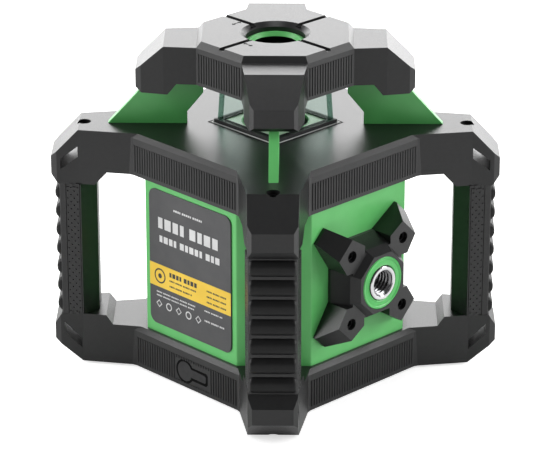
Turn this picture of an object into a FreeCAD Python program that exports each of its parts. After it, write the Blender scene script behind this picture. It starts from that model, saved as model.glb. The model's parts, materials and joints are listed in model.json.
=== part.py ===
"""Rotating laser level: a sealed housing between two shock frames that four handles join.

Millimetres, +Z up.  The origin is the centre of the footprint, on the surface that the feet
stand on.  The housing's flat faces look along X and Y, and the four arms lie on the diagonals:
-Y carries the label plate, +X the side tripod mount, -X the keypad and +Y the battery door.
Pieces with arms are drawn with one arm along X, then turned by arm_turn about Z.
"""
import FreeCAD, Part
import math
import os
import re

import Sketcher

V = FreeCAD.Vector
Z_AXIS = V(0, 0, 1)
TURNS = {"X": (V(0, 1, 0), 90), "Y": (V(1, 0, 0), -90), "Z": (Z_AXIS, 0)}
ARMS = 4

SIZES = {
    # plan of the two shock frames, one arm along X: distance from the axis, and half width there
    "arm_turn": 45,
    "frame_root": 81.6, "frame_root_half": 19.5,
    "arm_neck": 111.9, "arm_neck_half": 14.3,
    "arm_shoulder": 124.6, "arm_shoulder_half": 13.9,
    "arm_tip": 128, "arm_tip_half": 11.4,
    # heights of the upper frame
    "frame_top": 144.8, "frame_under": 120, "handle_top": 112,
    "chamfer_reach": 112, "top_chamfer_low": 128, "tip_under": 117.3,
    "neck_reach": 124, "throat_upper": 95.8, "throat_upper_out": 103,
    "frame_edge_bevel": 2.4, "window_port": 20, "port_relief": 27, "relief_deep": 1.6,
    # heights of the lower frame
    "frame_base": 1.2, "lower_top": 25.7, "handle_base": 31.2,
    "bottom_chamfer_high": 14.6, "tip_over": 24.1,
    "throat_lower": 94.1, "throat_lower_out": 97.9, "floor_top": 5, "base_port": 30,
    # strap slots through the arm ends, and the frame screws
    "slot_out": 122.4, "slot_in": 112.4,
    "slot_top_out": 120.8, "slot_top_in": 128.4, "slot_bottom_out": 19.4, "slot_bottom_in": 9.6,
    "slot_high": 6.3,
    "screw_reach": 109.3, "screw_head": 3.5, "screw_bore": 3.9, "screw_shank": 1.8,
    "screw_gap": 0.1, "screw_seat_top": 139, "screw_seat_bottom": 7, "screw_head_high": 3.4,
    "screw_bite": 12, "foot": 4.2, "foot_reach": 103.5, "foot_spread": 8.6, "foot_deep": 2.4,
    # handles
    "core_in": 106, "core_out": 120, "core_half": 6, "core_low": 26.4, "core_high": 118.6,
    "grip_in": 102.2, "grip_in_half": 7, "grip_side": 111, "grip_half": 15.4,
    "grip_nose": 123, "grip_nose_half": 13.6, "grip_crest": 126, "grip_crest_half": 11.6,
    "grip_trough": 123.3, "grip_ribs": 7, "groove_floor": 2, "groove_mouth": 8, "grip_toe_high": 6.4,
    # housing
    "shell_face": 67, "shell_flat_half": 37.4, "shell_wall": 2.6,
    "shell_base": 5, "shell_top": 141.8,
    # cap over the rotor
    "cap_under": 173.6, "cap_arm_under": 167.2, "cap_arm_top": 195.5, "cap_top": 199,
    "cap_side": 44.3, "cap_plateau": 41.4, "cap_root_half": 18.35,
    "cap_mid": 62.9, "cap_mid_half": 16.4, "cap_neck": 75.8, "cap_neck_half": 13.4,
    "cap_tip": 79, "cap_tip_half": 11, "cap_tip_chamfer_low": 180.4, "cap_tip_under": 170,
    "cap_heel": 75.7, "cap_toe": 60.7, "cap_throat": 55.6, "cap_cavity": 24, "cap_cavity_top": 192,
    "cap_hole": 17, "cap_sink": 19.8, "cap_sink_deep": 2.6,
    "cap_groove_half": 1.7, "cap_groove_deep": 1.2,
    "fin_half": 2.75, "fin_in": 50.3, "fin_out": 95.5, "fin_knee": 79.4, "fin_knee_high": 162.6,
    "fin_step": 152, "fin_lean": 41, "fin_lean_high": 163.4,
    "cap_screw_reach": 68, "cap_screw": 1.5, "cap_screw_head": 2.9, "cap_screw_top": 180,
    # window around the rotor
    "pane_base": 146.8, "pane_top": 172.1, "pane_half_low": 23.4, "pane_half_high": 22.2,
    "pane_thick": 2.2, "pane_split": 0.2, "gasket_half": 24.8, "gasket_in": 20.6,
    "gasket_top_half": 24.6, "gasket_top_in": 20,
    "floor_half": 20.5, "floor_hole": 19.6, "floor_plate": 1.4,
    # side tripod mount
    "star_mid": 71.3, "star_leg": 82, "star_front": 86, "star_tip_far": 36, "star_tip_near": 28.5,
    "star_notch": 24.3, "star_notch_half": 10.3, "star_waist": 19.5, "star_boss_base": 20.6,
    "star_boss": 17.2, "star_boss_low": 80.6, "star_leg_fall": 36, "star_leg_foot": 45.6,
    "star_edge": 2, "star_screw": 20.5, "star_screw_bore": 3.4, "star_screw_seat": 77,
    "disc_outer": 15.4, "disc_inner": 10.3, "disc_seat": 83.6, "disc_front": 86.3,
    "thread_wall": 6.8, "thread_mouth": 8.3, "insert_outer": 10.2, "insert_back": 62,
    "insert_front": 86.7, "base_plate_lip": 34, "base_plate_top": 7.5, "base_insert_top": 22,
    # label plate
    "label_half": 33.8, "label_low": 31.5, "label_high": 114.5, "label_corner": 5,
    "label_thick": 0.8,
    # keypad
    "pad_half": 24, "pad_low": 48, "pad_high": 106, "pad_corner": 5, "pad_thick": 2.5,
    "pad_window_half": 21.6, "pad_window_low": 55, "pad_window_high": 99,
    "key_radius": 5.2, "key_hole": 5.6, "key_flange": 6.8, "key_proud": 1.5,
    "key_back": 64.4, "key_flange_deep": 1.4, "key_pitch": 14, "key_row_low": 64,
    "key_row_high": 78, "light_radius": 1.5, "light_row": 90, "light_pitch": 7,
    "receiver_half": 8, "receiver_low": 94.5, "receiver_high": 101.5, "trim_proud": 0.5,
    "board_back": 60, "board_front": 61.6, "board_half": 28, "board_low": 40, "board_high": 116,
    "switch_radius": 2, "switch_top": 63.4, "post_radius": 3, "post_inset": 4,
    # battery
    "bay_half": 33, "bay_low": 33, "bay_high": 97, "bay_deep": 34, "bay_wall": 2,
    "cell_half": 29.5, "cell_low": 35.6, "cell_high": 93.5, "cell_front": 62, "cell_back": 37,
    "door_half": 34.5, "door_low": 33.5, "door_high": 99, "door_thick": 4, "door_gap": 0.4,
    "door_corner": 5,
    "hinge_reach": 69.6, "hinge_high": 31, "hinge_knuckle": 2.4, "hinge_pin": 1.2,
    "hinge_fit": 0.05, "knuckle_in": 14, "knuckle_out": 24, "lug_gap": 0.4, "lug_wide": 5,
    "lug_ease": 0.1, "lug_root": 1.9,
    "latch_high": 90, "latch_knob": 6, "latch_shaft": 3, "latch_fit": 0.06, "latch_proud": 3.6,
    "tongue_long": 7, "tongue_half": 2.2, "tongue_thick": 1.8, "tongue_gap": 0.6,
    # charging socket
    "socket_across": -0.9, "socket_high": 11, "socket_radius": 4.6, "socket_bore": 2.8,
    "socket_pin": 0.9, "socket_back": 60, "socket_face": 69.4,
    "flap_radius": 5.9, "flap_half": 2.6, "flap_end": 16.6, "flap_gap": 0.35, "flap_thick": 1.6,
    "flap_recess": 69.6, "frame_face": 71.5,
    # gimbal
    "pivot_high": 130, "ring_in": 27, "ring_out": 32, "ring_half_high": 4,
    "pin_radius": 2, "pin_fit": 0.05, "ring_pin_end": 45, "block_in": 38.2, "block_out": 46,
    "block_half": 6, "block_low": 125, "bridge_in": 36, "bridge_out": 50, "bridge_low": 138,
    "cradle_pin_end": 31.4,
    # laser cradle and what it carries
    "cradle_top": 136, "cradle_step": 116, "cradle_low": 80, "cradle_wide": 15,
    "cradle_narrow": 13, "bearing_outer": 12, "module_bore": 10, "module_radius": 9.9,
    "module_low": 66, "module_high": 115, "diode_radius": 6, "diode_low": 60,
    "bearing_gap": 0.05, "bearing_high": 5, "bearing_one": 120, "bearing_two": 130.5,
    "shaft_radius": 7, "shaft_bore": 5, "shaft_low": 117, "shaft_top": 150,
    "rotor_pulley_radius": 10, "motor_pulley_radius": 4, "pulley_low": 137, "pulley_high": 140,
    "spin_motor_reach": 20, "spin_motor_radius": 4.4, "spin_motor_low": 115,
    "spin_motor_high": 134, "motor_shaft": 1, "belt_thick": 0.8, "belt_gap": 0.3,
    "belt_low": 137.4, "belt_high": 139.6, "motor_shelf": 3,
    "vial_radius": 2.4, "vial_half": 9, "vial_low": 86, "vial_high": 93,
    # rotor
    "base_radius": 16.4, "base_low": 146.5, "base_high": 150,
    "head_radius": 15.5, "head_wall": 2.4, "head_top": 187, "head_roof": 2.4,
    "head_aperture": 11.6, "beam_half": 7, "beam_low": 158, "beam_high": 177,
    "prism_half": 7, "prism_low": 159, "prism_high": 175,
    # levelling drives
    "level_reach": 42, "level_motor": 7.4, "level_motor_low": 94, "level_motor_high": 112,
    "level_screw": 1.5, "level_screw_fit": 0.06, "level_screw_end": 137.4,
    "nut_half": 4, "nut_half_high": 3, "nut_pin": 1.2, "nut_pin_end": 7.4, "fork_in": 5.2,
    "fork_out": 8, "slot_half": 1.5, "slot_half_long": 1.9, "fork_end": 46.5, "fork_half_high": 3,
    "bracket_half": 9, "bracket_back": 52, "bracket_wall": 2.4, "bracket_low": 92,
    "tilt_high": 86, "tilt_nut": 26, "tilt_plate_in": 34, "tilt_plate_out": 36.4,
    "tilt_plate_low": 77, "tilt_motor_end": 53, "tilt_screw_end": 18.8, "tilt_fork_end": 29,
    "tilt_fork_half_high": 6, "tilt_slot_half_high": 4.1, "tilt_foot_low": 123.4,
}


# ---- document, sheet and expressions -------------------------------------------------------

doc = FreeCAD.newDocument("laser_level")
sheet = doc.addObject("Spreadsheet::Sheet", "sizes")
nodes = []


def fill_sheet():
    for row, (alias, value) in enumerate(SIZES.items(), start=1):
        sheet.set("A%d" % row, alias)
        sheet.set("B%d" % row, str(value))
        sheet.setAlias("B%d" % row, alias)
    doc.recompute()


def linked(text):
    """An expression in sheet names, written out with the sheet in front of each name."""
    def name(found):
        return "sizes." + found[0] if found[0] in SIZES else found[0]
    return re.sub(r"[a-z_]+", name, str(text))


def num(text):
    return float(sheet.evalExpression(linked(text)))


def bind(thing, **fields):
    for field, text in fields.items():
        thing.setExpression(field, linked(text))
    return thing


def node(thing, label):
    thing.Label = label
    nodes.append(thing)
    return thing


def turned(points, quarter):
    """The same outline a number of quarter turns on, as expressions."""
    for _ in range(quarter):
        points = [("-(%s)" % y, x) for x, y in points]
    return points


def around(points):
    """One arm's outline repeated at four quarter turns."""
    return [point for quarter in range(ARMS) for point in turned(points, quarter)]


def both_sides(points):
    """An outline's lower half followed by its mirror image across X."""
    return [(x, "-(%s)" % y) for x, y in points] + list(reversed(points))


def rectangle(x_low, x_high, y_low, y_high):
    return [(x_low, y_low), (x_high, y_low), (x_high, y_high), (x_low, y_high)]


def clipped(x_low, x_high, y_low, y_high, corner):
    """A rectangle with its four corners cut at 45 degrees."""
    return [("%s+%s" % (x_low, corner), y_low), ("%s-%s" % (x_high, corner), y_low),
            (x_high, "%s+%s" % (y_low, corner)), (x_high, "%s-%s" % (y_high, corner)),
            ("%s-%s" % (x_high, corner), y_high), ("%s+%s" % (x_low, corner), y_high),
            (x_low, "%s-%s" % (y_high, corner)), (x_low, "%s+%s" % (y_low, corner))]


# ---- PartDesign helpers --------------------------------------------------------------------

def new_body(name, turn=0.0):
    body = doc.addObject("PartDesign::Body", name)
    body.AllowCompound = True
    body.Placement = FreeCAD.Placement(V(), FreeCAD.Rotation(Z_AXIS, turn))
    return body


def origin_part(body, role):
    return [item for item in body.Origin.OriginFeatures if item.Role == role][0]


def new_sketch(body, plane, start="0", turn=0.0):
    sketch = body.newObject("Sketcher::SketchObject", body.Name + "_sketch")
    sketch.AttachmentSupport = [(origin_part(body, plane + "_Plane"), "")]
    sketch.MapMode = "FlatFace"
    sketch.AttachmentOffset = FreeCAD.Placement(V(), FreeCAD.Rotation(Z_AXIS, turn))
    sketch.setExpression("AttachmentOffset.Base.z", linked(start))
    return sketch


def pin_down(sketch, edge, end, x, y):
    """Hold one vertex of a sketch at two expressions."""
    for kind, text in (("DistanceX", x), ("DistanceY", y)):
        index = sketch.addConstraint(Sketcher.Constraint(kind, -1, 1, edge, end, num(text)))
        sketch.setExpression("Constraints[%d]" % index, linked(text))


def polygon(body, plane, points, start="0", turn=0.0):
    """A closed outline whose every corner is held by expressions."""
    sketch = new_sketch(body, plane, start, turn)
    corners = [V(num(x), num(y), 0) for x, y in points]
    count = len(points)
    for i in range(count):
        sketch.addGeometry(Part.LineSegment(corners[i], corners[(i + 1) % count]), False)
    for i in range(count):
        sketch.addConstraint(Sketcher.Constraint("Coincident", i, 2, (i + 1) % count, 1))
    for i, (x, y) in enumerate(points):
        pin_down(sketch, i, 1, x, y)
    return sketch


def ring(body, plane, radii, start="0", x="0", y="0"):
    """One circle, or several round the same centre."""
    sketch = new_sketch(body, plane, start)
    for i, radius in enumerate(radii):
        circle = Part.Circle(V(num(x), num(y), 0), V(0, 0, 1), num(radius))
        sketch.addGeometry(circle, False)
        pin_down(sketch, i, 3, x, y)
        index = sketch.addConstraint(Sketcher.Constraint("Radius", i, num(radius)))
        sketch.setExpression("Constraints[%d]" % index, linked(radius))
    return sketch


def extrude(body, kind, sketch, length, middle, taper):
    feature = body.newObject("PartDesign::" + kind, body.Name + "_" + kind.lower())
    feature.Profile = sketch
    feature.setExpression("Length", linked(length))
    if middle:
        feature.SideType = "Symmetric"
    if taper:
        feature.setExpression("TaperAngle", linked(taper))
    body.Tip = feature
    return feature


def pad(body, sketch, length, middle=False, taper=None):
    """Add material along the sketch's normal, or half each way."""
    return extrude(body, "Pad", sketch, length, middle, taper)


def cut(body, sketch, length, middle=False):
    """Remove material along the sketch's normal, or half each way."""
    feature = extrude(body, "Pocket", sketch, length, middle, None)
    feature.Reversed = not middle
    return feature


def turn_profile(body, kind, points):
    """Revolution or Groove about Z of an outline in radius and height."""
    feature = body.newObject("PartDesign::" + kind, body.Name + "_" + kind.lower())
    feature.Profile = polygon(body, "XZ", points)
    feature.ReferenceAxis = (origin_part(body, "Z_Axis"), [""])
    feature.Angle = 360
    body.Tip = feature
    return feature


def loft(body, kind, low, high):
    feature = body.newObject("PartDesign::" + kind, body.Name + "_loft")
    feature.Profile = low
    feature.Sections = [high]
    feature.Ruled = True
    body.Tip = feature
    return feature


def repeat(body, feature, count=ARMS, span=360):
    """Repeat a feature round Z."""
    pattern = body.newObject("PartDesign::PolarPattern", body.Name + "_pattern")
    pattern.Originals = [feature]
    pattern.Axis = (origin_part(body, "Z_Axis"), [""])
    pattern.Angle = span
    pattern.Occurrences = count
    body.Tip = pattern
    return pattern


def bevel(body, size, wanted):
    """Chamfer the edges of the body so far that the test picks out."""
    doc.recompute()
    base = body.Tip
    local = base.Shape
    names = ["Edge%d" % (i + 1) for i, edge in enumerate(local.Edges) if wanted(edge)]
    feature = body.newObject("PartDesign::Chamfer", body.Name + "_bevel")
    feature.Base = (base, names)
    feature.setExpression("Size", linked(size))
    body.Tip = feature
    return feature


# ---- Part helpers --------------------------------------------------------------------------

def rod(radius, low, high, axis="Z", across="0", up="0", turn=0.0):
    """A round bar along an axis; across and up place it in the other two, in X, Y, Z order."""
    bar = doc.addObject("Part::Cylinder", "rod")
    bind(bar, Radius=radius, Height="(%s)-(%s)" % (high, low))
    base = {"X": (low, across, up), "Y": (across, low, up), "Z": (across, up, low)}[axis]
    local = FreeCAD.Placement(V(*[num(text) for text in base]), FreeCAD.Rotation(*TURNS[axis]))
    bar.Placement = FreeCAD.Placement(V(), FreeCAD.Rotation(Z_AXIS, turn)).multiply(local)
    return bar


def block(x_low, x_high, y_low, y_high, z_low, z_high, turn=0.0):
    bar = doc.addObject("Part::Box", "block")
    bind(bar, Length="(%s)-(%s)" % (x_high, x_low), Width="(%s)-(%s)" % (y_high, y_low),
         Height="(%s)-(%s)" % (z_high, z_low))
    local = FreeCAD.Placement(V(num(x_low), num(y_low), num(z_low)), FreeCAD.Rotation())
    bar.Placement = FreeCAD.Placement(V(), FreeCAD.Rotation(Z_AXIS, turn)).multiply(local)
    return bar


def fused(parts):
    whole = doc.addObject("Part::MultiFuse", "fused")
    whole.Shapes = parts
    return whole


def less(base, tools):
    """Base with the tools removed."""
    result = doc.addObject("Part::Cut", "less")
    result.Base = base
    result.Tool = tools[0] if len(tools) == 1 else fused(tools)
    return result


def together(parts):
    """Separate solids that share a node."""
    group = doc.addObject("Part::Compound", "group")
    group.Links = parts
    return group


def arm_turns():
    return [num("arm_turn") + 360 / ARMS * arm for arm in range(ARMS)]


# ---- shock frames --------------------------------------------------------------------------

def frame_plan():
    half = [("frame_root", "frame_root_half"), ("arm_neck", "arm_neck_half"),
            ("arm_shoulder", "arm_shoulder_half"), ("arm_tip", "arm_tip_half")]
    return around(both_sides(half))


def shell_plan(inset="0"):
    """The housing's octagon, seen with a corner face along X."""
    reach = "(shell_face+shell_flat_half)/sqrt(2)-(%s)" % inset
    half = "(shell_face-shell_flat_half)/sqrt(2)-(%s)*tan(22.5)" % inset
    return around([(reach, "-(%s)" % half), (reach, half)])


def arm_cut(body, points, width="2*frame_root_half+2"):
    """Cut an outline in reach and height through every arm."""
    repeat(body, cut(body, polygon(body, "XZ", points), width, middle=True))


def under_arms(body, low_half, high_half, low, high):
    """Clear the middle below or above the handle ends, in two crossing passes."""
    points = [("-%s" % low_half, low), (low_half, low), (high_half, high), ("-%s" % high_half, high)]
    feature = cut(body, polygon(body, "XZ", points), "2*frame_root+2", middle=True)
    repeat(body, feature, 2, 90)


def handle_seats(body, low, high):
    """Square sockets for the handle cores."""
    hole = rectangle("core_in", "core_out", "-core_half", "core_half")
    repeat(body, cut(body, polygon(body, "XY", hole, low), "(%s)-(%s)" % (high, low)))


def screw_wells(body, low, high, shank_low, shank_high):
    """Counterbore and shank hole of the frame screws."""
    for radius, start, end in (("screw_bore", low, high),
                               ("screw_shank+screw_gap", shank_low, shank_high)):
        well = ring(body, "XY", [radius], start, "screw_reach")
        repeat(body, cut(body, well, "(%s)-(%s)" % (end, start)))


def is_face_rim(edge, height):
    """A straight rim of a ribbed face at the given height."""
    if len(edge.Vertexes) != 2:
        return False
    a, b = (vertex.Point for vertex in edge.Vertexes)
    middle = (a + b) * 0.5
    level = abs(a.z - height) < 1e-3 and abs(b.z - height) < 1e-3
    reach = math.hypot(middle.x, middle.y)
    return level and abs(reach - num("frame_face")) < 0.3 and (a - b).Length > 60


def make_upper_frame():
    body = new_body("upper_frame_body", num("arm_turn"))
    pad(body, polygon(body, "XY", frame_plan(), "handle_top"), "frame_top-handle_top")
    under_arms(body, "throat_upper_out", "throat_upper", "handle_top", "frame_under")
    cut(body, polygon(body, "XY", shell_plan(), "frame_under"), "shell_top-frame_under")
    cut(body, ring(body, "XY", ["window_port"], "shell_top"), "frame_top-shell_top")
    cut(body, ring(body, "XY", ["port_relief"], "shell_top"), "relief_deep")
    bevel(body, "frame_edge_bevel", lambda edge: is_face_rim(edge, num("frame_top")))
    slope = "(frame_top-top_chamfer_low)/(arm_tip-chamfer_reach)"
    arm_cut(body, [("chamfer_reach", "frame_top"), ("arm_tip+2", "top_chamfer_low-2*" + slope),
                   ("arm_tip+2", "frame_top+2"), ("chamfer_reach", "frame_top+2")])
    arm_cut(body, [("arm_tip", "tip_under"), ("neck_reach", "handle_top"),
                   ("arm_tip+2", "handle_top"), ("arm_tip+2", "tip_under")])
    arm_cut(body, [("slot_out", "slot_top_out"), ("slot_out", "slot_top_out+slot_high"),
                   ("slot_in", "slot_top_in+slot_high"), ("slot_in", "slot_top_in")])
    handle_seats(body, "handle_top", "core_high")
    screw_wells(body, "screw_seat_top", "frame_top", "core_high", "screw_seat_top")
    holes = [rod("cap_screw+screw_gap", "shell_top-1", "frame_top+1", "Z", "cap_screw_reach",
                 turn=turn) for turn in arm_turns()]
    node(less(body, holes), "upper_frame")


def make_lower_frame():
    body = new_body("lower_frame_body", num("arm_turn"))
    pad(body, polygon(body, "XY", frame_plan(), "frame_base"), "handle_base-frame_base")
    under_arms(body, "throat_lower", "throat_lower_out", "lower_top", "handle_base")
    cut(body, polygon(body, "XY", shell_plan(), "floor_top"), "lower_top-floor_top")
    cut(body, ring(body, "XY", ["base_port"], "frame_base"), "floor_top-frame_base")
    bevel(body, "frame_edge_bevel", lambda edge: is_face_rim(edge, num("lower_top")))
    slope = "(bottom_chamfer_high-frame_base)/(arm_tip-chamfer_reach)"
    arm_cut(body, [("chamfer_reach", "frame_base"), ("chamfer_reach", "frame_base-2"),
                   ("arm_tip+2", "frame_base-2"), ("arm_tip+2", "bottom_chamfer_high+2*" + slope)])
    arm_cut(body, [("arm_tip", "tip_over"), ("arm_tip+2", "tip_over"),
                   ("arm_tip+2", "handle_base"), ("neck_reach", "handle_base")])
    arm_cut(body, [("slot_out", "slot_bottom_out"), ("slot_out", "slot_bottom_out+slot_high"),
                   ("slot_in", "slot_bottom_in+slot_high"), ("slot_in", "slot_bottom_in")])
    handle_seats(body, "core_low", "handle_base")
    screw_wells(body, "frame_base", "screw_seat_bottom", "screw_seat_bottom", "core_low")
    sockets = [rod("foot", "frame_base", "foot_deep", "Z", "foot_reach", side + "foot_spread",
                   turn=turn) for turn in arm_turns() for side in ("", "-")]
    node(less(body, sockets + [flap_space()] + socket_space()), "lower_frame")


def make_feet():
    pads = [rod("foot", "0", "foot_deep", "Z", "foot_reach", side + "foot_spread", turn=turn)
            for turn in arm_turns() for side in ("", "-")]
    node(together(pads), "rubber_feet")


def make_frame_screws():
    screws = []
    for turn in arm_turns():
        head = rod("screw_head", "screw_seat_top", "screw_seat_top+screw_head_high", "Z",
                   "screw_reach", turn=turn)
        shank = rod("screw_shank", "core_high-screw_bite", "screw_seat_top", "Z", "screw_reach",
                    turn=turn)
        screws.append(fused([head, shank]))
        head = rod("screw_head", "screw_seat_bottom-screw_head_high", "screw_seat_bottom", "Z",
                   "screw_reach", turn=turn)
        shank = rod("screw_shank", "screw_seat_bottom", "core_low+screw_bite", "Z", "screw_reach",
                    turn=turn)
        screws.append(fused([head, shank]))
    node(together(screws), "frame_screws")


# ---- handles -------------------------------------------------------------------------------

def make_handle_cores():
    cores = []
    for turn in arm_turns():
        bar = block("core_in", "core_out", "-core_half", "core_half", "core_low", "core_high",
                    turn=turn)
        upper = rod("screw_shank+screw_gap", "core_high-screw_bite-1", "core_high+1", "Z",
                    "screw_reach", turn=turn)
        lower = rod("screw_shank+screw_gap", "core_low-1", "core_low+screw_bite+1", "Z",
                    "screw_reach", turn=turn)
        cores.append(less(bar, [upper, lower]))
    node(together(cores), "handle_cores")


def make_grip(label, turn):
    body = new_body(label + "_body", turn)
    plan = both_sides([("grip_in", "grip_in_half"), ("grip_side", "grip_half"),
                       ("grip_nose", "grip_nose_half"), ("grip_crest", "grip_crest_half")])
    length = "handle_top-handle_base"
    pad(body, polygon(body, "XY", plan, "handle_base"), length)
    toe = [("throat_lower_out", "handle_base"), ("grip_in", "handle_base"),
           ("grip_in", "handle_base+grip_toe_high")]
    pad(body, polygon(body, "XZ", toe), "2*grip_in_half", middle=True)
    hole = rectangle("core_in", "core_out", "-core_half", "core_half")
    cut(body, polygon(body, "XY", hole, "handle_base"), length)
    pitch = "(%s)/grip_ribs" % length
    middle = "handle_base+" + pitch
    groove = [("grip_trough", middle + "-groove_floor/2"), ("grip_crest+1", middle + "-groove_mouth/2"),
              ("grip_crest+1", middle + "+groove_mouth/2"), ("grip_trough", middle + "+groove_floor/2")]
    notch = cut(body, polygon(body, "XZ", groove), "2*grip_half+2", middle=True)
    pattern = body.newObject("PartDesign::LinearPattern", label + "_pattern")
    pattern.Originals = [notch]
    pattern.Direction = (origin_part(body, "Z_Axis"), [""])
    pattern.Occurrences = int(num("grip_ribs")) - 1
    pattern.setExpression("Length", linked("(%s)*(grip_ribs-2)" % pitch))
    body.Tip = pattern
    node(body, label)


def make_grips():
    for number, turn in enumerate(arm_turns(), start=1):
        make_grip("grip_%d" % number, turn)


# ---- housing -------------------------------------------------------------------------------

def make_housing():
    body = new_body("housing_body", num("arm_turn"))
    height = "shell_top-shell_base"
    pad(body, polygon(body, "XY", shell_plan(), "shell_base"), height)
    cut(body, polygon(body, "XY", shell_plan("shell_wall"), "shell_base"), height)
    keypad = block("-shell_face-1", "1-shell_face+shell_wall", "-pad_window_half",
                   "pad_window_half", "pad_window_low", "pad_window_high")
    battery = block("-bay_half+bay_wall", "bay_half-bay_wall", "shell_face-shell_wall-1",
                    "shell_face+1", "bay_low+bay_wall", "bay_high-bay_wall")
    side = rod("insert_outer+screw_gap", "shell_face-shell_wall-1", "shell_face+1", "X", "0",
               "star_mid")
    node(less(body, [keypad, battery, side] + socket_space()), "housing_shell")


def make_label():
    body = new_body("label_body")
    plan = clipped("-label_half", "label_half", "label_low", "label_high", "label_corner")
    pad(body, polygon(body, "XZ", plan, "shell_face"), "label_thick")
    node(body, "label_plate")


# ---- cap, fins and window ------------------------------------------------------------------

def octagon(reach):
    """A regular octagon with flats along X, Y and the diagonals."""
    half = "(%s)*tan(22.5)" % reach
    return around([(reach, "-(%s)" % half), (reach, half)])


def cap_arm_cut(body, points):
    repeat(body, cut(body, polygon(body, "XZ", points), "2*cap_root_half+2", middle=True))


def make_top_cap():
    body = new_body("top_cap_body", num("arm_turn"))
    plan = around(both_sides([("cap_side", "cap_root_half"), ("cap_mid", "cap_mid_half"),
                              ("cap_neck", "cap_neck_half"), ("cap_tip", "cap_tip_half")]))
    pad(body, polygon(body, "XY", plan, "cap_arm_under"), "cap_arm_top-cap_arm_under")
    low = polygon(body, "XY", octagon("cap_side"), "cap_arm_top")
    high = polygon(body, "XY", octagon("cap_plateau"), "cap_top")
    loft(body, "AdditiveLoft", low, high)
    throat = [("-cap_toe", "cap_arm_under"), ("cap_toe", "cap_arm_under"),
              ("cap_throat", "cap_under"), ("-cap_throat", "cap_under")]
    repeat(body, cut(body, polygon(body, "XZ", throat), "2*cap_side+4", middle=True), 2, 90)
    slope = "(cap_arm_top-cap_tip_chamfer_low)/(cap_tip-cap_mid)"
    cap_arm_cut(body, [("cap_mid", "cap_arm_top"), ("cap_tip+2", "cap_tip_chamfer_low-2*" + slope),
                       ("cap_tip+2", "cap_arm_top+2"), ("cap_mid", "cap_arm_top+2")])
    cap_arm_cut(body, [("cap_tip", "cap_tip_under"), ("cap_heel", "cap_arm_under"),
                       ("cap_tip+2", "cap_arm_under"), ("cap_tip+2", "cap_tip_under")])
    turn_profile(body, "Groove", [
        ("0", "cap_under"), ("cap_cavity", "cap_under"), ("cap_cavity", "cap_cavity_top"),
        ("cap_hole", "cap_cavity_top"), ("cap_hole", "cap_top-cap_sink_deep"),
        ("cap_sink", "cap_top"), ("cap_sink", "cap_top+1"), ("0", "cap_top+1")])
    slit = rectangle("cap_hole", "cap_side", "-cap_groove_half", "cap_groove_half")
    mark = cut(body, polygon(body, "XY", slit, "cap_top-cap_groove_deep", 45), "cap_groove_deep+1")
    repeat(body, mark)
    wells = [rod("cap_screw+screw_gap", "cap_arm_under-1", "cap_screw_top+1", "Z",
                 "cap_screw_reach", turn=turn) for turn in arm_turns()]
    node(less(body, wells), "top_cap")


def make_fins():
    body = new_body("fins_body", num("arm_turn"))
    side = [("fin_in", "frame_top"), ("fin_out", "frame_top"), ("fin_knee", "fin_knee_high"),
            ("cap_heel", "cap_arm_under"), ("cap_toe", "cap_arm_under"),
            ("cap_throat", "cap_under"), ("fin_lean", "cap_under"), ("fin_lean", "fin_lean_high"),
            ("fin_in", "fin_step")]
    repeat(body, pad(body, polygon(body, "XZ", side), "2*fin_half", middle=True))
    wells = [rod("cap_screw+screw_gap", "frame_top-1", "cap_arm_under+1", "Z", "cap_screw_reach",
                 turn=turn) for turn in arm_turns()]
    node(less(body, wells), "cap_fins")


def make_cap_screws():
    screws = []
    for turn in arm_turns():
        head = rod("cap_screw_head", "shell_top-2.4", "shell_top", "Z", "cap_screw_reach", turn=turn)
        shank = rod("cap_screw", "shell_top", "cap_screw_top", "Z", "cap_screw_reach", turn=turn)
        screws.append(fused([head, shank]))
    node(together(screws), "cap_screws")


def square(half):
    return rectangle("-(%s)" % half, half, "-(%s)" % half, half)


def make_window_panes():
    body = new_body("panes_body")
    loft(body, "AdditiveLoft", polygon(body, "XY", square("pane_half_low"), "pane_base"),
         polygon(body, "XY", square("pane_half_high"), "pane_top"))
    loft(body, "SubtractiveLoft",
         polygon(body, "XY", square("pane_half_low-pane_thick"), "pane_base"),
         polygon(body, "XY", square("pane_half_high-pane_thick"), "pane_top"))
    split = rectangle("gasket_in", "2*gasket_half", "-pane_split/2", "pane_split/2")
    repeat(body, cut(body, polygon(body, "XY", split, "pane_base", 45), "pane_top-pane_base"))
    node(body, "window_panes")


def square_ring(half, hole, low, high):
    outer = block("-(%s)" % half, half, "-(%s)" % half, half, low, high)
    inner = block("-(%s)" % hole, hole, "-(%s)" % hole, hole, low + "-1", high + "+1")
    return less(outer, [inner])


def make_window_seals():
    low = square_ring("gasket_half", "gasket_in", "frame_top", "pane_base")
    high = square_ring("gasket_top_half", "gasket_top_in", "pane_top", "cap_under")
    node(together([low, high]), "window_gaskets")


def make_window_floor():
    plate = block("-floor_half", "floor_half", "-floor_half", "floor_half", "frame_top",
                  "frame_top+floor_plate")
    hole = rod("floor_hole", "frame_top-1", "frame_top+floor_plate+1")
    node(less(plate, [hole]), "window_floor")


# ---- tripod mounts -------------------------------------------------------------------------

def facing_x():
    """Placement that turns +Z to +X, with the mount's centre on the star's height."""
    return FreeCAD.Placement(V(0, 0, num("star_mid")), FreeCAD.Rotation(V(0, 1, 0), 90))


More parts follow.
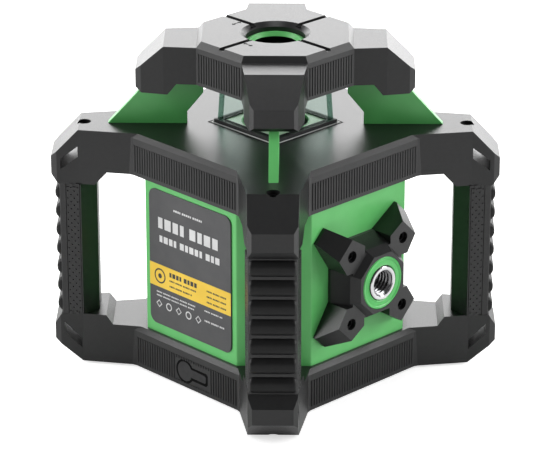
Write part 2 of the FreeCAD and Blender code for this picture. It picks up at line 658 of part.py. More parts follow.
def make_star_mount():
    body = new_body("star_body")
    leg = [("star_notch", "star_notch_half"), ("star_tip_far", "star_tip_near"),
           ("star_tip_near", "star_tip_far"), ("star_notch_half", "star_notch")]
    pad(body, polygon(body, "XY", around(leg), "shell_face"), "star_leg-shell_face")
    fall = [("star_leg_fall", "star_leg"), ("star_leg_foot", "shell_face+star_edge"),
            ("star_leg_foot+9", "shell_face+star_edge"), ("star_leg_foot+9", "star_leg+1"),
            ("star_leg_fall", "star_leg+1")]
    slope = new_sketch_on_diagonal(body, fall)
    repeat(body, cut(body, slope, "60", middle=True))
    wall = [("star_waist", "star_leg"), ("star_notch", "shell_face+star_edge"),
            ("star_notch+9", "shell_face+star_edge"), ("star_notch+9", "star_leg+1"),
            ("star_waist", "star_leg+1")]
    repeat(body, cut(body, polygon(body, "XZ", wall), "2*star_notch_half", middle=True))
    low = polygon(body, "XY", octagon("star_boss_base"), "star_boss_low")
    high = polygon(body, "XY", octagon("star_boss"), "star_front")
    loft(body, "AdditiveLoft", low, high)
    cut(body, ring(body, "XY", ["disc_outer+screw_gap"], "disc_seat"), "star_front-disc_seat")
    cut(body, ring(body, "XY", ["disc_inner+screw_gap"], "shell_face"), "star_front-shell_face")
    well = ring(body, "XY", ["star_screw_bore"], "star_screw_seat", "star_screw", "star_screw")
    repeat(body, cut(body, well, "star_leg-star_screw_seat"))
    body.Placement = facing_x()
    node(body, "star_mount")


def new_sketch_on_diagonal(body, points):
    """An outline in reach and height, drawn on the upright plane at 45 degrees to X."""
    sketch = polygon(body, "XZ", points)
    sketch.AttachmentOffset = FreeCAD.Placement(V(), FreeCAD.Rotation(V(0, 1, 0), 45))
    return sketch


def make_side_disc():
    disc = rod("disc_outer", "disc_seat", "disc_front", "X", "0", "star_mid")
    hole = rod("insert_outer+screw_gap", "disc_seat-1", "disc_front+1", "X", "0", "star_mid")
    node(less(disc, [hole]), "side_disc")


def thread_insert(label, back, front, placement):
    """A steel insert whose threaded hole opens at its front."""
    body = new_body(label + "_body")
    lead = "thread_mouth-thread_wall"
    turn_profile(body, "Revolution", [
        ("thread_wall", back), ("insert_outer", back), ("insert_outer", front),
        ("thread_mouth", front), ("thread_wall", "%s-(%s)" % (front, lead))])
    body.Placement = placement
    node(body, label)


def make_side_insert():
    thread_insert("side_thread_insert", "insert_back", "insert_front", facing_x())


def make_star_screws():
    screws = []
    for across in ("star_screw", "-star_screw"):
        for up in ("star_mid+star_screw", "star_mid-star_screw"):
            screws.append(rod("star_screw_bore-screw_gap", "star_screw_seat", "star_leg-2.2", "X",
                              across, up))
    node(together(screws), "star_screws")


def make_base_mount():
    plate = rod("base_port-screw_gap", "frame_base", "floor_top")
    lip = rod("base_plate_lip", "floor_top", "base_plate_top")
    hole = rod("insert_outer+screw_gap", "0", "base_plate_top+1")
    node(less(fused([plate, lip]), [hole]), "base_plate")
    flip = FreeCAD.Placement(V(), FreeCAD.Rotation(V(1, 0, 0), 180))
    thread_insert("base_thread_insert", "-base_insert_top", "-frame_base", flip)


# ---- keypad --------------------------------------------------------------------------------

def key_places():
    """Name, across and height of each key."""
    return [("key_power", "0", "key_row_high+key_pitch/7"),
            ("key_mode", "-key_pitch", "key_row_high"), ("key_speed", "key_pitch", "key_row_high"),
            ("key_tilt_left", "-key_pitch/2", "key_row_low"),
            ("key_tilt_right", "key_pitch/2", "key_row_low")]


def make_keypad_panel():
    body = new_body("keypad_body")
    plan = clipped("-pad_half", "pad_half", "pad_low", "pad_high", "pad_corner")
    pad(body, polygon(body, "YZ", plan, "-shell_face-pad_thick"), "pad_thick")
    holes = [rod("key_hole", "-shell_face-pad_thick-1", "-shell_face+1", "X", across, up)
             for _, across, up in key_places()]
    node(less(body, holes), "keypad_panel")


def make_keys():
    for label, across, up in key_places():
        cap = rod("key_radius", "-shell_face-pad_thick-key_proud", "-key_back", "X", across, up)
        flange = rod("key_flange", "-key_back-key_flange_deep", "-key_back", "X", across, up)
        node(fused([cap, flange]), label)


def make_keypad_trim():
    front = "-shell_face-pad_thick"
    lights = [rod("light_radius", front + "-trim_proud", front, "X", across, "light_row")
              for across in ("-light_pitch", "0", "light_pitch")]
    node(together(lights), "status_lights")
    window = block(front + "-trim_proud", front, "-receiver_half", "receiver_half",
                   "receiver_low", "receiver_high")
    node(window, "receiver_window")


def make_main_board():
    board = block("-board_front", "-board_back", "-board_half", "board_half", "board_low",
                  "board_high")
    posts = [rod("post_radius", "-shell_face+shell_wall", "-board_front", "X", across, up)
             for across in ("-board_half+post_inset", "board_half-post_inset")
             for up in ("board_low+post_inset", "board_high-post_inset")]
    switches = [rod("switch_radius", "-switch_top", "-board_front", "X", across, up)
                for _, across, up in key_places()]
    node(fused([board] + posts + switches), "main_board")


# ---- battery -------------------------------------------------------------------------------

def make_battery_bay():
    inner_face = "shell_face-shell_wall"
    outer = block("-bay_half", "bay_half", "bay_deep", inner_face, "bay_low", "bay_high")
    inner = block("-bay_half+bay_wall", "bay_half-bay_wall", "bay_deep+bay_wall",
                  inner_face + "+1", "bay_low+bay_wall", "bay_high-bay_wall")
    node(less(outer, [inner]), "battery_bay")
    pack = block("-cell_half", "cell_half", "cell_back", "cell_front", "cell_low", "cell_high")
    node(pack, "battery_pack")


def make_battery_door():
    front = "shell_face+door_gap+door_thick"
    body = new_body("door_plate")
    plan = clipped("-door_half", "door_half", "door_low", "door_high", "door_corner")
    pad(body, polygon(body, "XZ", plan, "-(%s)" % front), "door_thick")
    knuckles, webs, bores = [], [], []
    for side in (1, -1):
        low, high = sorted(("%d*knuckle_in" % side, "%d*knuckle_out" % side), key=num)
        knuckles.append(rod("hinge_knuckle", low, high, "X", "hinge_reach", "hinge_high"))
        webs.append(block(low, high, "shell_face+door_gap+0.4", "hinge_reach+hinge_knuckle-0.3",
                          "hinge_high", "door_low+1"))
        bores.append(rod("hinge_pin+hinge_fit", low + "-1", high + "+1", "X", "hinge_reach",
                         "hinge_high"))
    shaft = rod("latch_shaft+latch_fit", "shell_face-1", front + "+1", "Y", "0", "latch_high")
    node(less(fused([body] + knuckles + webs), bores + [shaft]), "battery_door")


def make_door_hinge():
    """Hinge lugs on the shell between and outside the door's knuckles, with their pin."""
    end = "knuckle_out+lug_gap+lug_wide"
    pin = rod("hinge_pin", "-(%s)" % end, end, "X", "hinge_reach", "hinge_high")
    lugs = []
    for low, high in (("-(knuckle_in-lug_gap)", "knuckle_in-lug_gap"),
                      ("knuckle_out+lug_gap", end), ("-(%s)" % end, "-(knuckle_out+lug_gap)")):
        lugs.append(rod("hinge_knuckle-lug_ease", low, high, "X", "hinge_reach", "hinge_high"))
        lugs.append(block(low, high, "shell_face", "hinge_reach", "hinge_high-lug_root",
                          "hinge_high+lug_root"))
    bore = rod("hinge_pin", "-(%s)-1" % end, end + "+1", "X", "hinge_reach", "hinge_high")
    pairs = [fused(lugs[i:i + 2]) for i in (0, 2, 4)]
    node(less(together(pairs), [bore]), "hinge_lugs")
    node(pin, "door_hinge_pin")


def make_door_latch():
    front = "shell_face+door_gap+door_thick"
    knob = rod("latch_knob", front + "+0.3", front + "+latch_proud", "Y", "0", "latch_high")
    handle = block("-latch_knob+0.6", "latch_knob-0.6", front + "+latch_proud",
                   front + "+latch_proud+2", "latch_high-1.3", "latch_high+1.3")
    back = "shell_face-tongue_gap-tongue_thick"
    shaft = rod("latch_shaft", back, front + "+1", "Y", "0", "latch_high")
    tongue = block("-latch_shaft", "tongue_long", back, back + "+tongue_thick",
                   "latch_high-tongue_half", "latch_high+tongue_half")
    node(fused([knob, handle, shaft, tongue]), "door_latch")


# ---- charging socket -----------------------------------------------------------------------

def flap_outline(body, grow, start):
    """A round lid with a straight tab to its hinge, as one closed sketch."""
    sketch = new_sketch(body, "XZ", start)
    radius, half = num("flap_radius+" + grow), num("flap_half+" + grow)
    x, z, end = num("socket_across"), num("socket_high"), num("flap_end+" + grow)
    angle = math.asin(half / radius)
    corner = x + radius * math.cos(angle)
    circle = Part.Circle(V(x, z, 0), V(0, 0, 1), radius)
    sketch.addGeometry(Part.ArcOfCircle(circle, angle, 2 * math.pi - angle), False)
    path = [V(corner, z - half, 0), V(end, z - half, 0), V(end, z + half, 0),
            V(corner, z + half, 0)]
    for a, b in zip(path, path[1:]):
        sketch.addGeometry(Part.LineSegment(a, b), False)
    for first, second in ((0, 1), (1, 2), (2, 3), (3, 0)):
        ends = (2, 1)
        sketch.addConstraint(Sketcher.Constraint("Coincident", first, ends[0], second, ends[1]))
    pin_down(sketch, 0, 3, "socket_across", "socket_high")
    pin_down(sketch, 2, 1, "flap_end+" + grow, "socket_high-flap_half-" + grow)
    pin_down(sketch, 2, 2, "flap_end+" + grow, "socket_high+flap_half+" + grow)
    sketch.addConstraint(Sketcher.Constraint("Horizontal", 1))
    sketch.addConstraint(Sketcher.Constraint("Horizontal", 3))
    index = sketch.addConstraint(Sketcher.Constraint("Radius", 0, radius))
    sketch.setExpression("Constraints[%d]" % index, linked("flap_radius+" + grow))
    return sketch


def flap_space():
    body = new_body("flap_space")
    pad(body, flap_outline(body, "flap_gap", "flap_recess"), "frame_face+1-flap_recess")
    return body


def socket_space():
    return [rod("socket_radius", "-frame_face", "-socket_back", "Y", "socket_across",
                "socket_high")]


def make_charge_socket():
    shell = rod("socket_radius", "-socket_face", "-socket_back", "Y", "socket_across",
                "socket_high")
    bore = rod("socket_bore", "-socket_face-1", "-socket_back-2", "Y", "socket_across",
               "socket_high")
    pin = rod("socket_pin", "-socket_face+1", "-socket_back-1", "Y", "socket_across",
              "socket_high")
    node(fused([less(shell, [bore]), pin]), "charge_socket")


def make_socket_flap():
    body = new_body("flap_body")
    pad(body, flap_outline(body, "0", "frame_face+0.1-flap_thick"), "flap_thick")
    node(body, "socket_flap")


# ---- gimbal --------------------------------------------------------------------------------

def make_gimbal_bridge():
    """Ring plate under the frame's roof, with the pivot blocks and the first motor's bracket."""
    plate = less(rod("bridge_out", "bridge_low", "shell_top"),
                 [rod("bridge_in", "bridge_low-1", "shell_top+1")])
    blocks = [block("block_in", "block_out", "-block_half", "block_half", "block_low",
                    "bridge_low"),
              block("-block_out", "-block_in", "-block_half", "block_half", "block_low",
                    "bridge_low")]
    back = block("-bracket_half", "bracket_half", "-bracket_back", "-bracket_back+bracket_wall",
                 "bracket_low", "bridge_low")
    shelf = block("-bracket_half", "bracket_half", "-bracket_back", "-level_reach+level_motor",
                  "bracket_low", "level_motor_low")
    bore = rod("pin_radius+pin_fit", "-block_out-1", "block_out+1", "X", "0", "pivot_high")
    node(less(fused([plate, back, shelf] + blocks), [bore]), "gimbal_bridge")


def make_gimbal_ring():
    low, high = "pivot_high-ring_half_high", "pivot_high+ring_half_high"
    hoop = less(rod("ring_out", low, high), [rod("ring_in", low + "-1", high + "+1")])
    pins = [rod("pin_radius", "ring_out-1", "ring_pin_end", "X", "0", "pivot_high"),
            rod("pin_radius", "-ring_pin_end", "-ring_out+1", "X", "0", "pivot_high")]
    tines = [block(x_low, x_high, "-fork_end", "-ring_out+4", "pivot_high-fork_half_high",
                   "pivot_high+fork_half_high")
             for x_low, x_high in (("fork_in", "fork_out"), ("-fork_out", "-fork_in"))]
    slot = block("-fork_out-1", "fork_out+1", "-level_reach-slot_half_long",
                 "-level_reach+slot_half_long", "pivot_high-slot_half", "pivot_high+slot_half")
    foot = block("-tilt_plate_out", "-ring_in-1.5", "-level_motor", "level_motor",
                 "tilt_foot_low", low + "+0.5")
    plate = block("-tilt_plate_out", "-tilt_plate_in", "-level_motor", "level_motor",
                  "tilt_plate_low", low)
    bore = rod("pin_radius+pin_fit", "-ring_out-1", "ring_out+1", "Y", "0", "pivot_high")
    passage = rod("level_screw+0.6", "-tilt_plate_out-1", "-tilt_plate_in+1", "X", "0", "tilt_high")
    inner = rod("ring_in", low + "-9", high + "+1")
    hung = less(fused([hoop, foot, plate] + tines), [inner])
    node(less(fused([hung] + pins), [bore, slot, passage]), "gimbal_ring")


def make_level_drive():
    """The drive that tilts the ring: an upright motor, its screw and the nut in the ring's fork."""
    node(rod("level_motor", "level_motor_low", "level_motor_high", "Z", "0", "-level_reach"),
         "level_motor")
    node(rod("level_screw", "level_motor_high+0.2", "level_screw_end", "Z", "0", "-level_reach"),
         "level_screw")
    nut = block("-nut_half", "nut_half", "-level_reach-nut_half", "-level_reach+nut_half",
                "pivot_high-nut_half_high", "pivot_high+nut_half_high")
    pins = rod("nut_pin", "-nut_pin_end", "nut_pin_end", "X", "-level_reach", "pivot_high")
    bore = rod("level_screw+level_screw_fit", "pivot_high-9", "pivot_high+9", "Z", "0",
               "-level_reach")
    node(less(fused([nut, pins]), [bore]), "level_nut")


def make_tilt_drive():
    """The drive that tilts the cradle: the same parts lying along X below the ring."""
    node(rod("level_motor", "-tilt_motor_end", "-tilt_plate_out", "X", "0", "tilt_high"),
         "tilt_motor")
    node(rod("level_screw", "-tilt_plate_out+0.2", "-tilt_screw_end", "X", "0", "tilt_high"),
         "tilt_screw")
    nut = block("-tilt_nut-nut_half_high", "-tilt_nut+nut_half_high", "-nut_half", "nut_half",
                "tilt_high-nut_half", "tilt_high+nut_half")
    pins = rod("nut_pin", "-nut_pin_end", "nut_pin_end", "Y", "-tilt_nut", "tilt_high")
    bore = rod("level_screw+level_screw_fit", "-tilt_nut-9", "-tilt_nut+9", "X", "0", "tilt_high")
    node(less(fused([nut, pins]), [bore]), "tilt_nut")


# ---- laser cradle --------------------------------------------------------------------------

def make_laser_cradle():
    body = new_body("cradle_tube")
    turn_profile(body, "Revolution", [
        ("module_bore", "cradle_low"), ("cradle_narrow", "cradle_low"),
        ("cradle_narrow", "cradle_step-4"), ("cradle_wide", "cradle_step-2"),
        ("cradle_wide", "cradle_top"), ("bearing_outer", "cradle_top"),
        ("bearing_outer", "cradle_step"), ("module_bore", "cradle_step")])
    inner = "cradle_wide-1"
    pins = [rod("pin_radius", inner, "cradle_pin_end", "Y", "0", "pivot_high"),
            rod("pin_radius", "-cradle_pin_end", "-(%s)" % inner, "Y", "0", "pivot_high")]
    shelf = block("module_bore+1.5", "spin_motor_reach+spin_motor_radius", "-spin_motor_radius",
                  "spin_motor_radius", "spin_motor_low-motor_shelf", "spin_motor_low")
    tines = [block("-tilt_fork_end", "-module_bore", y_low, y_high,
                   "tilt_high-tilt_fork_half_high", "tilt_high+tilt_fork_half_high")
             for y_low, y_high in (("fork_in", "fork_out"), ("-fork_out", "-fork_in"))]
    slot = block("-tilt_nut-slot_half", "-tilt_nut+slot_half", "-fork_out-1", "fork_out+1",
                 "tilt_high-tilt_slot_half_high", "tilt_high+tilt_slot_half_high")
    saddle = block("-vial_half", "vial_half", "module_bore+1", "cradle_narrow+2",
                   "vial_low-vial_radius", "vial_high+vial_radius")
    bore = rod("module_bore", "cradle_low-1", "cradle_step")
    solid = fused([body, shelf, saddle] + pins + tines)
    node(less(solid, [slot, bore]), "laser_cradle")


def make_cradle_contents():
    barrel = rod("module_radius", "module_low", "module_high")
    diode = rod("diode_radius", "diode_low", "module_low")
    node(fused([barrel, diode]), "laser_module")
    races = []
    for low in ("bearing_one", "bearing_two"):
        race = rod("bearing_outer", low, low + "+bearing_high")
        hole = rod("shaft_radius+bearing_gap", low + "-1", low + "+bearing_high+1")
        races.append(less(race, [hole]))
    node(together(races), "rotor_bearings")
    reach = "cradle_narrow+2+vial_radius"
    node(together([rod("vial_radius", "-vial_half", "vial_half", "X", reach, "vial_low"),
                   rod("vial_radius", "-vial_half", "vial_half", "X", reach, "vial_high")]),
         "level_vials")


def make_spin_motor():
    can = rod("spin_motor_radius", "spin_motor_low", "spin_motor_high", "Z", "spin_motor_reach")
    node(can, "spin_motor")
    pulley = rod("motor_pulley_radius", "pulley_low", "pulley_high", "Z", "spin_motor_reach")
    shaft = rod("motor_shaft", "spin_motor_high+0.2", "pulley_low", "Z", "spin_motor_reach")
    node(fused([pulley, shaft]), "motor_pulley")


def belt_face(grow):
    """The flat outline of a belt round both pulleys, standing off them by grow."""
    big, small = num("rotor_pulley_radius") + grow, num("motor_pulley_radius") + grow
    reach = num("spin_motor_reach")
    lean = math.acos((big - small) / reach)
    start, end = (V(math.cos(lean), math.sin(lean), 0), V(math.cos(lean), -math.sin(lean), 0))
    far = V(reach, 0, 0)
    back = Part.Arc(start * big, V(-big, 0, 0), end * big)
    front = Part.Arc(far + end * small, V(reach + small, 0, 0), far + start * small)
    sides = [Part.LineSegment(end * big, far + end * small),
             Part.LineSegment(far + start * small, start * big)]
    wire = Part.Wire([back.toShape(), sides[0].toShape(), front.toShape(), sides[1].toShape()])
    return Part.Face(wire)


def make_drive_belt():
    height = V(0, 0, num("belt_high-belt_low"))
    outer = belt_face(num("belt_gap+belt_thick")).extrude(height)
    inner = belt_face(num("belt_gap")).extrude(height)
    belt = doc.addObject("Part::Feature", "belt")
    belt.Shape = outer.cut(inner)
    belt.Placement = FreeCAD.Placement(V(0, 0, num("belt_low")), FreeCAD.Rotation())
    node(belt, "drive_belt")


# ---- rotor ---------------------------------------------------------------------------------

def make_rotor():
    shaft = less(rod("shaft_radius", "shaft_low", "shaft_top"),
                 [rod("shaft_bore", "shaft_low-1", "shaft_top+1")])
    node(shaft, "rotor_shaft")
    pulley = less(rod("rotor_pulley_radius", "pulley_low", "pulley_high"),
                  [rod("shaft_radius", "pulley_low-1", "pulley_high+1")])
    node(pulley, "rotor_pulley")
    turntable = less(rod("base_radius", "base_low", "base_high"),
                     [rod("shaft_radius", "base_low-1", "base_high+1")])
    seat = less(rod("head_radius-head_wall", "base_high", "prism_low"),
                [rod("shaft_bore", "base_high-1", "prism_low+1")])
    node(fused([turntable, seat]), "rotor_base")
    make_rotor_head()
    make_prism()


def make_rotor_head():
    body = new_body("rotor_head_body")
    inner = "head_radius-head_wall"
    turn_profile(body, "Revolution", [
        (inner, "base_high"), ("head_radius", "base_high"), ("head_radius", "head_top-1"),
        ("head_radius-1", "head_top"), ("head_aperture", "head_top"),
        ("head_aperture", "head_top-head_roof"), (inner, "head_top-head_roof")])
    port = block("0", "head_radius+1", "-beam_half", "beam_half", "beam_low", "beam_high")
    node(less(body, [port]), "rotor_head")


def make_prism():
    body = new_body("prism_body")
    side = [("-prism_half", "prism_low"), ("prism_half", "prism_low"),
            ("prism_half", "prism_high-2"), ("1", "prism_high"), ("-prism_half", "prism_high-6")]
    pad(body, polygon(body, "XZ", side), "2*prism_half", middle=True)
    node(body, "penta_prism")


# ---- the whole instrument ------------------------------------------------------------------

def make_all():
    fill_sheet()
    for make in (make_housing, make_upper_frame, make_lower_frame, make_feet, make_frame_screws,
                 make_handle_cores, make_grips, make_label, make_top_cap, make_fins,
                 make_cap_screws, make_window_panes, make_window_seals, make_window_floor,
                 make_star_mount, make_side_disc, make_side_insert, make_star_screws,
                 make_base_mount, make_keypad_panel, make_keys, make_keypad_trim, make_main_board,
                 make_battery_bay, make_battery_door, make_door_hinge, make_door_latch,
                 make_charge_socket, make_socket_flap, make_gimbal_bridge, make_gimbal_ring,
                 make_level_drive, make_tilt_drive, make_laser_cradle, make_cradle_contents,
                 make_spin_motor, make_drive_belt, make_rotor):
        make()
    doc.recompute()


def check_all():
    for thing in doc.Objects:
        if "Invalid" in thing.State or "Error" in thing.State:
            raise RuntimeError("%s failed: %s" % (thing.Label, thing.State))
    for thing in nodes:
        if thing.Shape.isNull() or not thing.Shape.isValid() or not thing.Shape.Solids:
            raise RuntimeError("%s has no valid solid" % thing.Label)


def write_all():
    os.makedirs("parts", exist_ok=True)
    for thing in nodes:
        thing.Shape.exportStep("parts/%s.step" % thing.Label)
        box = thing.Shape.BoundBox
        print("%-20s %2d solids %10.1f mm3  x %.1f %.1f  y %.1f %.1f  z %.1f %.1f" % (
            thing.Label, len(thing.Shape.Solids), thing.Shape.Volume,
            box.XMin, box.XMax, box.YMin, box.YMax, box.ZMin, box.ZMax))
    print(len(nodes), "nodes")


make_all()
check_all()
write_all()
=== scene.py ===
"""The looks of the rotating laser level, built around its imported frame.

Metres, +Z up; the named sizes are in mm. The label looks along -Y, the side tripod mount along +X,
the keypad along -X and the battery door along +Y. The four arms lie on the diagonals.
"""
import json
import math

import bmesh
import bpy
from mathutils import Matrix, Vector


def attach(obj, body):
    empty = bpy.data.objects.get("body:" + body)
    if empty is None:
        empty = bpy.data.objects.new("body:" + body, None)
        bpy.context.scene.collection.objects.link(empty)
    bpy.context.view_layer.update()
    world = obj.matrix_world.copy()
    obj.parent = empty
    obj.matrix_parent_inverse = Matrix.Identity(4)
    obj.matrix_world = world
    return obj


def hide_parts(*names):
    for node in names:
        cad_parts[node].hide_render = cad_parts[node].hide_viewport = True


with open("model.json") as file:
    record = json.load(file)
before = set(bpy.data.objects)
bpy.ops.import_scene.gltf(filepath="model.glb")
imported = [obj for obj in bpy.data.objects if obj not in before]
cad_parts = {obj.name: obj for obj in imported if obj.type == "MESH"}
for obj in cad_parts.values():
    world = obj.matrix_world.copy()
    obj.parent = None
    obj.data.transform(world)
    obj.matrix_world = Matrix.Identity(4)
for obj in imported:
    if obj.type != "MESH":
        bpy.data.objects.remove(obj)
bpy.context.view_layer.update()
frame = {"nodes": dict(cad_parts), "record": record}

MM = 0.001
Z_AXIS = Vector((0, 0, 1))
AT_MIDDLE = Matrix.Identity(4)

# Directions about Z, in degrees from +X.
ARM_TURNS = (45, 135, 225, 315)
LABEL_TURN, MOUNT_TURN, DOOR_TURN, KEYPAD_TURN = -90, 0, 90, 180
FACE_TURNS = (LABEL_TURN, MOUNT_TURN, DOOR_TURN, KEYPAD_TURN)

# How far out the faces lie that carry pieces.
BAND_REACH = 71.5
CAP_REACH = 44.3
LABEL_REACH = 67
KEYPAD_REACH = 69.5
DOOR_REACH = 72


# ---- camera, light and floor ---------------------------------------------------------------

# Name, azimuth, elevation, distance and size in metres, radiance.
SOFTBOXES = (("back_box", 225, 14, 2.1, (3.6, 1.9), 4.0),
             ("left_box", -42, 22, 1.7, (1.5, 1.1), 5.0),
             ("right_box", 133, 22, 1.7, (1.5, 1.1), 5.0),
             ("top_box", 45, 88, 1.2, (0.4, 0.4), 5.0))
LIT_MIDDLE = Vector((0, 0, 0.1))
SEEN_MIDDLE = Vector((-0.0002, -0.0002, 0.08134))


def aim(thing, target, azimuth, elevation, distance):
    """Put a camera or light that far from target, looking at it. Azimuth 0 looks from -Y."""
    turn, tilt = math.radians(azimuth), math.radians(elevation)
    back = Vector((math.sin(turn) * math.cos(tilt), -math.cos(turn) * math.cos(tilt),
                   math.sin(tilt)))
    bpy.context.scene.collection.objects.link(thing)
    thing.location = target + back * distance
    thing.rotation_euler = (-back).to_track_quat("-Z", "Y").to_euler()


def make_camera(azimuth=45.67, elevation=22.16, distance=1.8, lens=203.66):
    """A long lens at the photo's angle, fitted to the corners of both frames."""
    data = bpy.data.cameras.new("camera")
    data.lens = lens
    camera = bpy.data.objects.new("camera", data)
    aim(camera, SEEN_MIDDLE, azimuth, elevation, distance)
    bpy.context.scene.camera = camera


def softbox(name, azimuth, elevation, distance, size, radiance):
    """A rectangular light that looks at the middle of the object, hidden from the camera."""
    data = bpy.data.lights.new(name, "AREA")
    data.shape = "RECTANGLE"
    data.size, data.size_y = size
    data.energy = radiance * math.pi * size[0] * size[1]
    lamp = bpy.data.objects.new(name, data)
    aim(lamp, LIT_MIDDLE, azimuth, elevation, distance)
    lamp.visible_camera = False


def camera_switch(tree, lit, seen, socket):
    """Feed a socket with seen where the camera looks and with lit for every other ray."""
    path = tree.nodes.new("ShaderNodeLightPath")
    strength = tree.nodes.new("ShaderNodeMapRange")
    strength.inputs["To Min"].default_value = lit
    strength.inputs["To Max"].default_value = seen
    tree.links.new(path.outputs["Is Camera Ray"], strength.inputs["Value"])
    tree.links.new(strength.outputs["Result"], socket)


def make_world():
    """White where the camera looks past the floor, and a dim even fill for everything else."""
    world = bpy.data.worlds.new("studio")
    world.use_nodes = True
    bpy.context.scene.world = world
    background = world.node_tree.nodes["Background"]
    background.inputs["Color"].default_value = (1, 1, 1, 1)
    camera_switch(world.node_tree, 0.17, 1.0, background.inputs["Strength"])


def make_floor(half_width=6):
    """Pale paper that looks nearly white to the camera and glows only a little otherwise."""
    bm = bmesh.new()
    bmesh.ops.create_grid(bm, x_segments=4, y_segments=4, size=half_width)
    floor = link_mesh("floor", bm)
    paper = finish("floor_paper", (0.90, 0.90, 0.90), (0.93, 0.93, 0.93), (0.75, 0.85), grain=900,
                   depth=0.00004)
    shader = paper.node_tree.nodes["Principled BSDF"]
    shader.inputs["Emission Color"].default_value = (1, 1, 1, 1)
    camera_switch(paper.node_tree, 0.05, 0.62, shader.inputs["Emission Strength"])
    floor.data.materials.append(paper)


def make_studio():
    make_camera()
    make_world()
    make_floor()
    for values in SOFTBOXES:
        softbox(*values)
    bpy.context.scene.view_settings.view_transform = "Standard"


# ---- materials -----------------------------------------------------------------------------

NOISE_LOW, NOISE_HIGH = 0.3, 0.7      # the part of a noise's values that is spread out


def noise(tree, coordinates, scale, detail=2.0):
    """The value of a noise over those coordinates, about 0.5 on average."""
    node = tree.nodes.new("ShaderNodeTexNoise")
    node.inputs["Scale"].default_value = scale
    node.inputs["Detail"].default_value = detail
    tree.links.new(coordinates, node.inputs["Vector"])
    return node.outputs["Fac"]


def ranged(tree, value, low, high):
    """The middle of a noise spread over low to high."""
    node = tree.nodes.new("ShaderNodeMapRange")
    node.inputs["From Min"].default_value = NOISE_LOW
    node.inputs["From Max"].default_value = NOISE_HIGH
    node.inputs["To Min"].default_value = low
    node.inputs["To Max"].default_value = high
    tree.links.new(value, node.inputs["Value"])
    return node.outputs["Result"]


def mixed(tree, value, low, high):
    """The middle of a noise spread over two colours."""
    node = tree.nodes.new("ShaderNodeValToRGB")
    for element, position, colour in zip(node.color_ramp.elements, (NOISE_LOW, NOISE_HIGH),
                                         (low, high)):
        element.position = position
        element.color = (*colour, 1)
    tree.links.new(value, node.inputs["Fac"])
    return node.outputs["Color"]


def finish(name, dark, light, rough, grain, depth, metal=0.0, blotch=60, coat=0.0,
           specular=0.5):
    """A surface whose colour and gloss vary gently, with a fine grain in its normal."""
    made = bpy.data.materials.new(name)
    made.use_nodes = True
    tree = made.node_tree
    shader = tree.nodes["Principled BSDF"]
    where = tree.nodes.new("ShaderNodeTexCoord").outputs["Object"]
    tree.links.new(mixed(tree, noise(tree, where, blotch, detail=4), dark, light),
                   shader.inputs["Base Color"])
    tree.links.new(ranged(tree, noise(tree, where, blotch * 3, detail=3), *rough),
                   shader.inputs["Roughness"])
    bump = tree.nodes.new("ShaderNodeBump")
    bump.inputs["Distance"].default_value = depth
    tree.links.new(noise(tree, where, grain), bump.inputs["Height"])
    tree.links.new(bump.outputs["Normal"], shader.inputs["Normal"])
    shader.inputs["Metallic"].default_value = metal
    shader.inputs["Specular IOR Level"].default_value = specular
    shader.inputs["Coat Weight"].default_value = coat
    return made


def clear(name, tint, share, rough=0.03, blotch=90):
    """A clear wall: see-through, with a glossy film that covers share of it where it faces the
    camera and nearly all of it at grazing angles."""
    made = bpy.data.materials.new(name)
    made.use_nodes = True
    tree = made.node_tree
    shader = tree.nodes["Principled BSDF"]
    where = tree.nodes.new("ShaderNodeTexCoord").outputs["Object"]
    shader.inputs["Base Color"].default_value = (*(0.1 * part for part in tint), 1)
    tree.links.new(ranged(tree, noise(tree, where, blotch, detail=3), rough, rough * 2.5),
                   shader.inputs["Roughness"])
    seen = tree.nodes.new("ShaderNodeBsdfTransparent")
    seen.inputs["Color"].default_value = (*tint, 1)
    film = tree.nodes.new("ShaderNodeLayerWeight")
    film.inputs["Blend"].default_value = 0.5
    power = tree.nodes.new("ShaderNodeMath")
    power.operation = "POWER"
    power.inputs[1].default_value = 4.0
    edge = tree.nodes.new("ShaderNodeMapRange")
    edge.inputs["To Min"].default_value = share
    edge.inputs["To Max"].default_value = 0.9
    mix = tree.nodes.new("ShaderNodeMixShader")
    tree.links.new(film.outputs["Facing"], power.inputs[0])
    tree.links.new(power.outputs["Value"], edge.inputs["Value"])
    tree.links.new(edge.outputs["Result"], mix.inputs["Fac"])
    tree.links.new(seen.outputs["BSDF"], mix.inputs[1])
    tree.links.new(shader.outputs["BSDF"], mix.inputs[2])
    tree.links.new(mix.outputs["Shader"], tree.nodes["Material Output"].inputs["Surface"])
    return made


